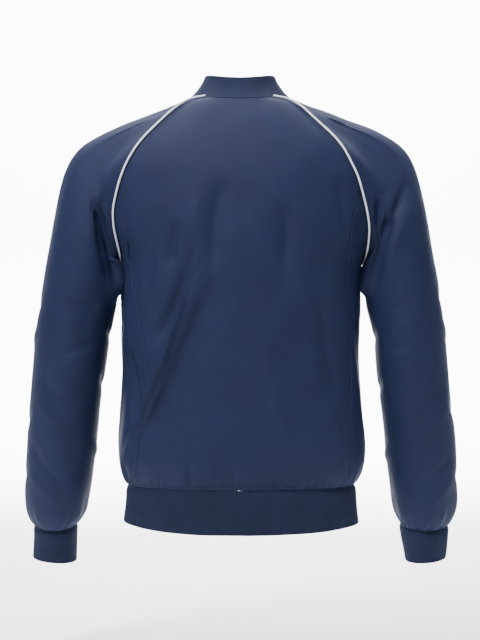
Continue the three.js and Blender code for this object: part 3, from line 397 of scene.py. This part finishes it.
# Puckers above a seam, uneven in spacing, depth and reach
def puckerRise(run, away, whole, closed, seed, settings):
    chance = np.random.RandomState(seed)
    rise = np.zeros_like(run)
    margin = 0 if closed else 5
    place = margin + chance.uniform(0, 6)
    while place < whole / mm - margin:
        width = chance.uniform(*settings["width"])
        reach = chance.uniform(*settings["reach"])
        depth = chance.uniform(*settings["depth"])
        lean = chance.uniform(-0.25, 0.25)
        distance = run / mm - place - lean * away / mm
        if closed:
            distance = (distance + whole / mm / 2) % (whole / mm) - whole / mm / 2
        start = smoothstep(0, 5, away / mm)
        across = np.exp(-((distance / width) ** 2))
        rise -= depth * mm * start * across * np.exp(-((away / mm / reach) ** 2))
        place += chance.uniform(*settings["spacing"])
    return rise


seamLines = {}  # middle line of each piping, filled in below
pipingNodes = {"left": "piping_left", "right": "piping_right"}


def pipingLine(side, edge):
    points, triangles = weldedTriangles(pipingNodes[side])
    nearest = np.linalg.norm(points[:, None] - edge[None], axis=2).argmin(axis=1)
    stops = sorted(set(nearest))
    centres = np.array([points[nearest == stop].mean(axis=0) for stop in stops])
    return stops, centres


def distanceToLine(points, line):
    starts, spans = line[:-1], np.diff(line, axis=0)
    best = np.full(len(points), np.inf)
    for start, span in zip(starts, spans):
        offset = points - start
        share = np.clip(offset @ span / (span @ span), 0, 1)
        best = np.minimum(best, np.linalg.norm(offset - share[:, None] * span, axis=1))
    return best


# Samples in each cell down and across, the edges that are not sewn, and the size in m and area in m2 of the
# cut that shows. The columns of a ribbed piece follow its ribs.
clothPieces = {row["name"]: row for row in table("name cells free flat area slot seed", [
    ("back", (6, 6), "", (0.40, 0.60), 0.205, "cloth_navy", 3),
    ("side_left", (8, 7), "", (0.17, 0.46), 0.064, "cloth_navy", 5),
    ("side_right", (8, 7), "", (0.17, 0.46), 0.059, "cloth_navy", 7),
    ("front_left", (6, 10), "left right", (0.20, 0.58), 0.096, "cloth_navy", 11),
    ("front_right", (6, 10), "left right", (0.20, 0.58), 0.096, "cloth_navy", 13),
    ("sleeve_left", (7, 6), "", (0.44, 0.74), 0.235, "cloth_navy", 17),
    ("sleeve_right", (7, 6), "", (0.44, 0.74), 0.235, "cloth_navy", 19),
    ("collar", (3, 0), "top left right", (0.36, 0.055), 0.0172, "rib_navy", 23),
    ("hem_band", (3, 0), "bottom left right", (0.94, 0.066), 0.059, "rib_navy", 29),
    ("cuff_left", (3, 0), "bottom", (0.24, 0.06), 0.0128, "rib_navy", 31),
    ("cuff_right", (3, 0), "bottom", (0.24, 0.06), 0.0128, "rib_navy", 37),
])}
hemPuckers = {"width": (2.6, 6), "reach": (8, 36), "depth": (0.8, 3.6), "spacing": (8, 20)}
cuffPuckers = {"width": (2.6, 5.5), "reach": (9, 38), "depth": (1, 3.8), "spacing": (8, 17)}
rib = {"pitch": 3.1 * mm, "rise": 0.5 * mm, "samples": 5}
seamDip = {"depth": 1.3 * mm, "width": 1.8 * mm}
rims = {"free": 1, "sewn": 0.8, "bandTop": 1.8}  # how far an edge rounds out, in half thicknesses
blousing = {"depth": 2 * mm, "width": 6 * mm, "ribWidth": 4 * mm}  # both edges curl in at the hem and cuffs


def shapedSheet(name, wall):
    settings = clothPieces[name]
    grid, wraps = wall["grid"], wall["wraps"]
    ribbed = settings["slot"] == "rib_navy"
    rows = curveWeights(samplePlaces(len(grid), settings["cells"][0], False), len(grid), False, 0.6)
    across = settings["cells"][1]
    if ribbed:
        middle = grid[len(grid) // 2]
        girth = np.vstack([middle, middle[:1]]) if wraps else middle
        ribs = round(np.linalg.norm(np.diff(girth, axis=0), axis=1).sum() / rib["pitch"])
        count = grid.shape[1]
        span = count if wraps else count - 1
        even = np.linspace(0, span, ribs * rib["samples"] + 1)
        dense = curveWeights(np.linspace(0, span - 1e-9, 2000), count, wraps, 0.6) @ middle
        runs = np.concatenate([[0], np.cumsum(np.linalg.norm(np.diff(dense, axis=0), axis=1))])
        places = np.interp(np.linspace(0, runs[-1], len(even)), runs, np.linspace(0, span, 2000))
        places = places[:-1] if wraps else places
    else:
        places = samplePlaces(grid.shape[1], across, wraps)
    columns = curveWeights(places, grid.shape[1], wraps, 0.6)
    base = np.einsum("ri,ijk,cj->rck", rows, grid, columns)
    shape = base.shape[:2]
    normals = gridNormals(base, wraps)
    points, directions = base.reshape(-1, 3), normals.reshape(-1, 3)
    closed = np.concatenate([base, base[:, :1]], axis=1) if wraps else base
    downRun = runLengths(base, 0)
    acrossRun = runLengths(closed, 1)
    whole = acrossRun[:, -1:]
    acrossRun = acrossRun[:, : shape[1]]
    edges = {
        "top": downRun,
        "bottom": downRun[-1:] - downRun,
        "left": acrossRun,
        "right": whole - acrossRun,
    }
    rise = np.zeros(len(points))
    if ribbed:
        phase = np.arange(shape[1]) / rib["samples"] * math.pi
        relief = rib["rise"] * (np.abs(np.cos(phase)) ** 0.8 - 0.6)
        rise += np.tile(relief, shape[0])
        rise += 0.5 * restlessRise(points, settings["seed"])
    else:
        folds = sleeveFolds.get(name, bodyFolds)
        for fold in folds:
            rise += foldRise(points, directions, fold)
        rise += restlessRise(points, restless["seed"])
        calm = np.ones(len(points))
        for line in seamLines.values():
            calm *= smoothstep(1 * mm, 16 * mm, distanceToLine(points, line))
        neck = smoothstep(0, 30 * mm, edges["top"]).reshape(-1) if not name.startswith("side") else 1
        rise *= calm * neck
        hold = smoothstep(0, 14 * mm, edges["bottom"]).reshape(-1)
        if name.startswith("front"):
            nearZip = np.minimum(edges["left"], edges["right"]).reshape(-1)
            zipSide = np.where(np.abs(points[:, 0]) < 60 * mm, smoothstep(4 * mm, 40 * mm, nearZip), 1)
            rise *= zipSide
        rise *= hold
        puckers = cuffPuckers if name.startswith("sleeve") else hemPuckers
        bottomRun = np.tile(acrossRun[-1], shape[0])
        rise += puckerRise(
            bottomRun, edges["bottom"].reshape(-1), whole[-1, 0], wraps, settings["seed"], puckers
        )
    for edge, away in edges.items():
        if edge in settings["free"].split() or (wraps and edge in ("left", "right")):
            continue
        # the collar stands up from its seam, where a deep dip would part the edges
        atNeck = (edge == "top" and not name.startswith(("side", "hem", "cuff"))) or name == "collar"
        depth = seamDip["depth"] * (0.4 if atNeck else 1)
        rise -= depth * np.exp(-((away.reshape(-1) / seamDip["width"]) ** 2))
        if (edge == "bottom") != ribbed and name != "collar":
            width = blousing["ribWidth"] if ribbed else blousing["width"]
            rise -= blousing["depth"] * np.exp(-((away.reshape(-1) / width) ** 2))
    outer = (points + directions * rise[:, None]).reshape(base.shape)
    innerRise = rise if not ribbed else np.full(len(points), -0.3 * rib["rise"])
    inner = (points + directions * (innerRise - wall["thickness"])[:, None]).reshape(base.shape)
    middleRow = acrossRun[shape[0] // 2]
    shift = 0 if wraps else whole[shape[0] // 2, 0] / 2
    uv = np.stack([np.tile(middleRow - shift, (shape[0], 1)), -downRun], axis=2)
    return {
        "outer": outer,
        "inner": inner,
        "uv": uv,
        "wraps": wraps,
        "free": settings["free"].split(),
        "normals": normals,
        "edges": edges,
    }


def linkedObject(name, mesh):
    made = bpy.data.objects.new(name, mesh)
    bpy.context.scene.collection.objects.link(made)
    return made


def meshObject(name, points, faces):
    mesh = bpy.data.meshes.new(name)
    mesh.from_pydata([tuple(point) for point in points], [], faces)
    mesh.polygons.foreach_set("use_smooth", [True] * len(mesh.polygons))
    return linkedObject(name, mesh)


# A closed wall: out over the top edge, down the outside, round the bottom edge and up the inside.
def sheetObject(name, sheet):
    outer, inner, uv = sheet["outer"], sheet["inner"], sheet["uv"]
    rows, columns = outer.shape[:2]

    def rim(row, nextRow, free):
        middle = (outer[row] + inner[row]) / 2
        half = (outer[row] - inner[row]) / 2
        away = unit(outer[row] - outer[nextRow]) * np.linalg.norm(half, axis=1, keepdims=True)
        # the top of a band reaches up behind the cloth that curls in over it
        bandTop = row == 0 and name.startswith(("hem", "cuff"))
        bulge = rims["bandTop"] if bandTop else rims["free"] if free else rims["sewn"]
        angles = [math.pi * share for share in (0.2, 0.4, 0.6, 0.8)]
        return [middle + half * math.cos(angle) + away * bulge * math.sin(angle) for angle in angles]

    bottom = rim(-1, -2, "bottom" in sheet["free"])
    top = rim(0, 1, "top" in sheet["free"])[::-1]
    loop = np.concatenate([outer, np.array(bottom), inner[::-1], np.array(top)])
    edgeUv = np.concatenate([uv, np.repeat(uv[-1:], 4, axis=0), uv[::-1], np.repeat(uv[:1], 4, axis=0)])
    total = len(loop)
    wraps = sheet["wraps"]
    cells = columns if wraps else columns - 1
    row, column = np.meshgrid(np.arange(total), np.arange(cells), indexing="ij")
    nextRow = (row + 1) % total
    nextColumn = (column + 1) % columns
    corners = np.stack([
        row * columns + column,
        nextRow * columns + column,
        nextRow * columns + nextColumn,
        row * columns + nextColumn,
    ], axis=2).reshape(-1, 4)
    faces = [tuple(face) for face in corners.tolist()]
    faceUv = edgeUv.reshape(-1, 2)[corners]
    if wraps:
        seamCells = column.reshape(-1) == columns - 1
        width = 2 * uv[0, -1, 0] - uv[0, -2, 0]
        for corner in (2, 3):
            faceUv[seamCells, corner, 0] = width
    capUvs = []
    if not wraps:
        for edge in (0, columns - 1):
            ring = []
            for index in range(rows - 1):
                other = rows + 4 + (rows - 1 - index)
                quad = [index, other, other - 1, index + 1]
                ring.append([place * columns + edge for place in quad])
            ring.append([place * columns + edge for place in range(rows - 1, rows + 5)])
            ring.append([place % total * columns + edge for place in range(total - 5, total + 1)])
            for face in ring:
                faces.append(tuple(face if edge == 0 else face[::-1]))
                capUvs += [(0, 0)] * len(face)
    made = meshObject(name + "_cloth", loop.reshape(-1, 3).tolist(), faces)
    layer = made.data.uv_layers.new(name="cut")
    flat = np.concatenate([faceUv.reshape(-1, 2), np.array(capUvs).reshape(-1, 2)])
    layer.data.foreach_set("uv", flat.reshape(-1))
    made.data.update()
    if not wraps:
        sharpenEdges(made, math.radians(55))
    return made


def sharpenEdges(made, angle):
    shape = bmesh.new()
    shape.from_mesh(made.data)
    for edge in shape.edges:
        if len(edge.link_faces) == 2 and edge.calc_face_angle(0) > angle:
            edge.smooth = False
    shape.to_mesh(made.data)
    shape.free()


# Materials

def linearColour(code, strength=1.0):
    channels = [int(code[start : start + 2], 16) / 255 for start in (0, 2, 4)]
    linear = [value / 12.92 if value <= 0.04045 else ((value + 0.055) / 1.055) ** 2.4 for value in channels]
    return (*[value * strength for value in linear], 1)


def addNode(tree, kind, settings=None, links=None):
    node = tree.nodes.new(kind)
    for key, value in (settings or {}).items():
        if key in node.inputs:
            node.inputs[key].default_value = value
        else:
            setattr(node, key, value)
    for key, source in (links or {}).items():
        tree.links.new(source, node.inputs[key])
    return node


def newMaterial(name):
    material = bpy.data.materials.new(name)
    material.use_nodes = True
    material.node_tree.nodes.clear()
    return material, material.node_tree


def finishMaterial(tree, shader):
    output = addNode(tree, "ShaderNodeOutputMaterial")
    tree.links.new(shader.outputs[0], output.inputs["Surface"])


# A band texture repeats every 2 pi / (20 x scale) of its length.
def bandNode(tree, place, direction, pitch, distortion):
    scale = math.pi / 10 / pitch
    return addNode(
        tree,
        "ShaderNodeTexWave",
        {"wave_type": "BANDS", "bands_direction": direction, "Scale": scale, "Distortion": distortion},
        {"Vector": place.outputs["UV"]},
    )


def knitMaterial(name, look):
    material, tree = newMaterial(name)
    place = addNode(tree, "ShaderNodeUVMap", {"uv_map": "cut"})
    wales = bandNode(tree, place, "X", look["walePitch"], 0.6)
    courses = bandNode(tree, place, "Y", look["coursePitch"], 0.4)
    patches = addNode(
        tree,
        "ShaderNodeTexNoise",
        {"Scale": 1 / look["patchSize"], "Detail": 3.0, "Roughness": 0.5},
        {"Vector": place.outputs["UV"]},
    )
    colour = addNode(tree, "ShaderNodeValToRGB", {}, {"Fac": patches.outputs["Fac"]})
    colour.color_ramp.elements[0].color = linearColour(look["shade"])
    colour.color_ramp.elements[0].position = 0.3
    colour.color_ramp.elements[1].color = linearColour(look["light"])
    colour.color_ramp.elements[1].position = 0.7
    loops = addNode(
        tree,
        "ShaderNodeBump",
        {"Strength": look["loopStrength"], "Distance": look["loopDepth"]},
        {"Height": wales.outputs["Fac"]},
    )
    rows = addNode(
        tree,
        "ShaderNodeBump",
        {"Strength": look["loopStrength"], "Distance": look["loopDepth"]},
        {"Height": courses.outputs["Fac"], "Normal": loops.outputs["Normal"]},
    )
    shader = addNode(
        tree,
        "ShaderNodeBsdfPrincipled",
        {
            "Roughness": look["roughness"],
            "IOR": 1.5,
            "Specular IOR Level": 0.15,  # loops hide much of each fibre's shine
            "Sheen Weight": look["sheen"],
            "Sheen Roughness": 0.35,
            "Sheen Tint": linearColour(look["sheenTint"]),
        },
        {"Base Color": colour.outputs["Color"], "Normal": rows.outputs["Normal"]},
    )
    finishMaterial(tree, shader)
    return material


def plainMaterial(name, colour, roughness, metallic=0.0, ior=1.5, coat=0.0):
    material, tree = newMaterial(name)
    shader = addNode(
        tree,
        "ShaderNodeBsdfPrincipled",
        {
            "Base Color": linearColour(colour), "Roughness": roughness, "Metallic": metallic, "IOR": ior,
            "Coat Weight": coat,
        },
    )
    finishMaterial(tree, shader)
    return material


# smooth polyester warp knit: a soft satin light runs along the crests of the folds
tricot = knitMaterial("navy polyester tricot", {
    "light": "18213e", "shade": "161e39", "sheenTint": "5f7cc0", "roughness": 0.68, "sheen": 0.06,
    "walePitch": 1.1 * mm, "coursePitch": 1.0 * mm, "patchSize": 60 * mm,
    "loopStrength": 0.25, "loopDepth": 0.08 * mm,
})
# ribbed knit: matt, so the collar, cuffs and hem look a little darker than the shell
ribKnit = knitMaterial("navy rib knit", {
    "light": "182038", "shade": "151c32", "sheenTint": "5f78b0", "roughness": 0.85, "sheen": 0.06,
    "walePitch": 1.5 * mm, "coursePitch": 1.2 * mm, "patchSize": 40 * mm,
    "loopStrength": 0.35, "loopDepth": 0.12 * mm,
})
# satin piping: a clean pale line that catches the light on its round top
satin = plainMaterial("pale satin piping", "d9dbea", 0.5)
# woven tape: dull and darker beside the teeth
tapeWeave = plainMaterial("navy woven zip tape", "151c30", 0.85)
# moulded teeth: small clean highlights on each one
acetal = plainMaterial("navy moulded teeth", "141b2e", 0.38, ior=1.48)
# painted slider: glossier than the teeth, so it stands out at the collar
paint = plainMaterial("navy painted zinc", "1b2439", 0.3, coat=0.4)
# polyester thread: a shade lighter than the cloth, so each stitch shows
thread = plainMaterial("navy sewing thread", "26345c", 0.6)

surfaces = {"cloth_navy": tricot, "rib_navy": ribKnit}


# Cloth pieces

print("cloth: reading the CAD walls")
walls = {name: wallGrid(name) for name in clothPieces}
pipingStops = {}
for side in ("left", "right"):
    topEdge = walls["sleeve_" + side]["grid"][0]
    stops, centres = pipingLine(side, topEdge)
    # the cord starts after the part of the edge that has none
    start = [index for index in range(len(stops)) if stops[index] - stops[index - 1] != 1][-1]
    seamLines[side] = np.roll(topEdge[stops], -start, axis=0)
    pipingStops[side] = np.roll(centres, -start, axis=0)

pieces = {}
sheets = {}
for name, wall in walls.items():
    sheet = shapedSheet(name, wall)
    made = sheetObject(name, sheet)
    made.data.materials.append(surfaces[clothPieces[name]["slot"]])
    pieces[name] = made
    sheets[name] = sheet
    faceCount = len(made.data.polygons)
    print("cloth:", name, wall["grid"].shape, "mm thick", wall["thickness"] / mm, "faces", faceCount)


# Piping

pipe = {"radius": 1.5 * mm, "sides": 12, "sunk": 0.35 * mm, "step": 2.5 * mm}


def tubeObject(name, line, radius, sides):
    tangents = unit(np.gradient(line, axis=0))
    side = unit(np.cross(tangents[0], up))
    rings = []
    for centre, tangent in zip(line, tangents):
        side = unit(side - (side @ tangent) * tangent)
        other = np.cross(tangent, side)
        angles = np.arange(sides) / sides * 2 * math.pi
        rings.append(centre + radius * (np.cos(angles)[:, None] * side + np.sin(angles)[:, None] * other))
    points = np.concatenate(rings)
    faces = []
    for ring in range(len(line) - 1):
        for corner in range(sides):
            follow = (corner + 1) % sides
            low = ring * sides
            faces.append((low + corner, low + follow, low + sides + follow, low + sides + corner))
    faces.append(tuple(range(sides))[::-1])
    faces.append(tuple(range((len(line) - 1) * sides, len(line) * sides)))
    made = meshObject(name, points.tolist(), faces)
    made.data.polygons.foreach_set("use_smooth", [len(face) == 4 for face in faces])
    return made


def evenLine(line, step):
    dense = curveWeights(np.linspace(0, len(line) - 1, 40 * len(line)), len(line), False, 0.5) @ line
    runs = np.concatenate([[0], np.cumsum(np.linalg.norm(np.diff(dense, axis=0), axis=1))])
    stops = np.linspace(0, runs[-1], max(int(runs[-1] / step), 2) + 1)
    return np.stack([np.interp(stops, runs, dense[:, axis]) for axis in range(3)], axis=1)


for side in ("left", "right"):
    centres = pipingStops[side]
    inward = unit(seamLines[side] - centres)
    line = evenLine(centres + inward * pipe["sunk"], pipe["step"])
    made = tubeObject("piping_" + side + "_cord", line, pipe["radius"], pipe["sides"])
    made.data.materials.append(satin)
    pieces["piping_" + side] = made
print("piping done")


# Zip

teeth = {
    "pitch": 2.6 * mm, "height": 1.35 * mm, "reach": 1.5 * mm, "root": 2.4 * mm, "depth": 2.5 * mm,
    "roundness": 0.22 * mm,
}


def chainLine():
    points, triangles = weldedTriangles("zip_chain")
    leftSide = points[points[:, 0] > 0]
    leftSide = leftSide[np.argsort(-leftSide[:, 2])]
    pairs = leftSide[: len(leftSide) // 2 * 2].reshape(-1, 2, 3)
    line = pairs.mean(axis=1)
    line[:, 0] = 0
    return line


def addBox(shape, centre, along, outward, sizes, roundness):
    across = np.cross(along, outward)
    made = bmesh.ops.create_cube(shape, size=1)["verts"]
    for vertex in made:
        local = np.array(vertex.co) * np.array(sizes)
        vertex.co = Vector(centre + across * local[0] + outward * local[1] + along * local[2])
    edges = list({edge for vertex in made for edge in vertex.link_edges})
    bmesh.ops.bevel(
        shape, geom=edges, offset=roundness, segments=1, profile=0.5, affect="EDGES", offset_type="OFFSET",
    )


def zipTeeth():
    line = evenLine(chainLine(), teeth["pitch"] / 2)
    tangents = unit(np.gradient(line, axis=0))
    shape = bmesh.new()
    for index in range(1, len(line) - 1):
        side = 1 if index % 2 else -1
        along = tangents[index]
        outward = unit(np.cross(along, np.array([1.0, 0, 0])))
        if outward[1] > 0:
            outward = -outward
        centre = line[index] + np.array([side * (teeth["root"] - teeth["reach"]) / 2, 0, 0])
        addBox(
            shape, centre, along, outward,
            (teeth["root"] + teeth["reach"], teeth["depth"], teeth["height"]), teeth["roundness"],
        )
    mesh = bpy.data.meshes.new("zip_teeth")
    shape.to_mesh(mesh)
    shape.free()
    made = linkedObject("zip_teeth", mesh)
    made.data.materials.append(acetal)
    return made


# A hard part of the zip with its sharp edges broken
def roundedCopy(node, material, offset):
    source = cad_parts[node]
    mesh = source.data.copy()
    mesh.name = node + "_rounded"
    shape = bmesh.new()
    shape.from_mesh(mesh)
    bmesh.ops.remove_doubles(shape, verts=shape.verts, dist=1e-6)
    bmesh.ops.dissolve_limit(
        shape, angle_limit=math.radians(1), verts=shape.verts, edges=shape.edges,
    )
    joined = [edge for edge in shape.edges if len(edge.link_faces) == 2]
    sharp = [edge for edge in joined if edge.calc_face_angle(0) > math.radians(25)]
    bmesh.ops.bevel(
        shape, geom=sharp, offset=offset, segments=2, profile=0.6, affect="EDGES", clamp_overlap=True,
    )
    shape.to_mesh(mesh)
    shape.free()
    mesh.materials.clear()
    mesh.materials.append(material)
    for polygon in mesh.polygons:
        polygon.material_index = 0
        polygon.use_smooth = True
    made = linkedObject(node + "_rounded", mesh)
    sharpenEdges(made, math.radians(30))
    return made


pieces["zip_chain"] = zipTeeth()
pieces["zip_slider"] = roundedCopy("zip_slider", paint, 0.3 * mm)
pieces["zip_pull"] = roundedCopy("zip_pull", paint, 0.22 * mm)
pieces["zip_box"] = roundedCopy("zip_box", acetal, 0.5 * mm)
for node in ("zip_tape_left", "zip_tape_right"):
    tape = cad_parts[node]
    for slot in tape.material_slots:
        slot.material = tapeWeave
print("zip done")


# Sewing: short stitches laid on the cloth beside its edges

stitch = {"pitch": 2.7 * mm, "length": 2.0 * mm, "radius": 0.2 * mm, "sides": 5}
stitchLines = table("piece edge away", [
    ("front_left", "zip", 5),
    ("front_right", "zip", 5),
    ("collar", "left", 5),
    ("collar", "right", 5),
    ("hem_band", "left", 5),
    ("hem_band", "right", 5),
    ("back", "top", 2.2),
    ("sleeve_left", "neck", 2.2),
    ("sleeve_right", "neck", 2.2),
    ("front_left", "top", 2.2),
    ("front_right", "top", 2.2),
    ("back", "bottom", 2.2),
    ("side_left", "bottom", 2.2),
    ("side_right", "bottom", 2.2),
    ("front_left", "bottom", 2.2),
    ("front_right", "bottom", 2.2),
])


def lineBesideEdge(sheet, edge, away):
    outer = sheet["outer"]
    distances = sheet["edges"][edge]
    downwards = edge in ("top", "bottom")
    lines = outer.shape[1] if downwards else outer.shape[0]
    found = []
    for index in range(lines):
        run = distances[:, index] if downwards else distances[index]
        path = outer[:, index] if downwards else outer[index]
        order = np.argsort(run)
        found.append([np.interp(away, run[order], path[order, axis]) for axis in range(3)])
    return np.array(found)


def clothStitches():
    sides = stitch["sides"]
    points, faces = [], []
    for row in stitchLines:
        sheet = sheets[row["piece"]]
        edge = row["edge"]
        if edge == "zip":
            edge = "left" if abs(sheet["outer"][8, 0, 0]) < abs(sheet["outer"][8, -1, 0]) else "right"
        place = lineBesideEdge(sheet, "top" if edge == "neck" else edge, row["away"] * mm)
        normals = sheet["normals"]
        facing = {
            "top": normals[2], "neck": normals[2], "bottom": normals[-3],
            "left": normals[:, 2], "right": normals[:, -3],
        }[edge]
        if edge == "neck":
            side = row["piece"].split("_")[1]
            away = distanceToLine(sheet["outer"][0], seamLines[side])
            keep = away > 4 * mm
            start = int(np.argmin(keep))
            keep = np.roll(keep, -start)
            place = np.roll(place, -start, axis=0)[keep]
            facing = np.roll(facing, -start, axis=0)[keep]
        runs = np.concatenate([[0], np.cumsum(np.linalg.norm(np.diff(place, axis=0), axis=1))])
        stops = np.arange(3 * mm, runs[-1] - 3 * mm, stitch["pitch"])
        for stop in stops:
            ends = [
                np.array([np.interp(stop + shift, runs, place[:, axis]) for axis in range(3)])
                for shift in (-stitch["length"] / 2, stitch["length"] / 2)
            ]
            normal = unit(np.array([np.interp(stop, runs, facing[:, axis]) for axis in range(3)]))
            along = unit(ends[1] - ends[0])
            side = np.cross(along, normal)
            first = len(points)
            radius = stitch["radius"]
            for share, size in ((0, 0.35), (0.2, 1), (0.8, 1), (1, 0.35)):
                height = radius * (0.6 if size == 1 else -0.3)  # the ends sink into the cloth
                centre = ends[0] * (1 - share) + ends[1] * share + normal * height
                for corner in range(sides):
                    angle = corner / sides * 2 * math.pi
                    around = math.cos(angle) * side + math.sin(angle) * normal
                    points.append(centre + radius * size * around)
            for ring in range(3):
                for corner in range(sides):
                    follow = (corner + 1) % sides
                    low = first + ring * sides
                    faces.append((low + corner, low + follow, low + sides + follow, low + sides + corner))
            faces.append(tuple(first + corner for corner in range(sides))[::-1])
            faces.append(tuple(first + 3 * sides + corner for corner in range(sides)))
    made = meshObject("stitches", points, faces)
    made.data.materials.append(thread)
    return made


stitches = clothStitches()
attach(stitches, "jacket")
print("sewing: faces", len(stitches.data.polygons))


# Each piece hides the CAD part it stands for and moves with its body

for name, made in pieces.items():
    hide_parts(name)
    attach(made, "zip_pull" if name == "zip_pull" else "jacket")


# Floor, light and camera

studio = {
    "floorHeight": -0.86, "front": 3.6, "bendStart": -3.2, "bend": 0.9, "wallHeight": 4, "halfWidth": 5,
    "paper": "fafafc",
}


def backdrop():
    profile = [(studio["front"], 0), (studio["bendStart"], 0)]
    for step in range(1, 17):
        angle = step / 16 * math.pi / 2
        out, rise = math.sin(angle), 1 - math.cos(angle)
        profile.append((studio["bendStart"] - studio["bend"] * out, studio["bend"] * rise))
    profile.append((studio["bendStart"] - studio["bend"], studio["wallHeight"]))
    points, faces = [], []
    for depth, height in profile:
        points += [(side * studio["halfWidth"], depth, studio["floorHeight"] + height) for side in (-1, 1)]
    for index in range(len(profile) - 1):
        low = 2 * index
        faces.append((low, low + 2, low + 3, low + 1))
    made = meshObject("studio paper", points, faces)
    made.data.materials.append(plainMaterial("studio paper", studio["paper"], 0.9))
    return made


backdrop()


def softLight(name, place, aim, size, power, colour, spread=180):
    light = bpy.data.lights.new(name, "AREA")
    light.shape = "RECTANGLE"
    light.size, light.size_y = size
    light.energy = power
    light.color = linearColour(colour)[:3]
    light.spread = math.radians(spread)
    made = linkedObject(name, light)
    made.location = place
    made.rotation_euler = (Vector(aim) - Vector(place)).to_track_quat("-Z", "Y").to_euler()


softLight("key", (0.9, 1.45, 1.85), (0, 0, -0.3), (0.55, 0.55), 128, "fffaf4")
softLight("side", (-1.9, 0.6, 1.3), (-0.2, 0, -0.1), (0.8, 0.8), 16, "f4f7ff")
softLight("top", (0, 0.25, 1.5), (0, 0, -0.3), (1.3, 0.7), 22, "ffffff")
softLight("paper left", (1.5, -1.9, 2.4), (0.8, -4.1, -0.2), (1.2, 0.8), 270, "ffffff", 95)
softLight("paper right", (-1.5, -1.9, 2.4), (-0.8, -4.1, -0.2), (1.2, 0.8), 270, "ffffff", 95)
softLight("floor", (0, -1.0, 1.5), (0, -1.2, -0.86), (2.6, 0.8), 90, "ffffff", 120)

world = bpy.data.worlds.new("studio")
bpy.context.scene.world = world
world.use_nodes = True
world.node_tree.nodes["Background"].inputs["Color"].default_value = linearColour("f2f5fa")
world.node_tree.nodes["Background"].inputs["Strength"].default_value = 0.22

view = {"place": (-0.003, 2.54, -0.34), "lens": 93.6, "sensor": 36, "shift": -0.003}  # straight at the back
lens = bpy.data.cameras.new("camera")
lens.lens = view["lens"]
lens.sensor_width = view["sensor"]
lens.shift_x = view["shift"]
camera = linkedObject("camera", lens)
camera.location = view["place"]
camera.rotation_euler = (math.pi / 2, 0, math.pi)
bpy.context.scene.camera = camera
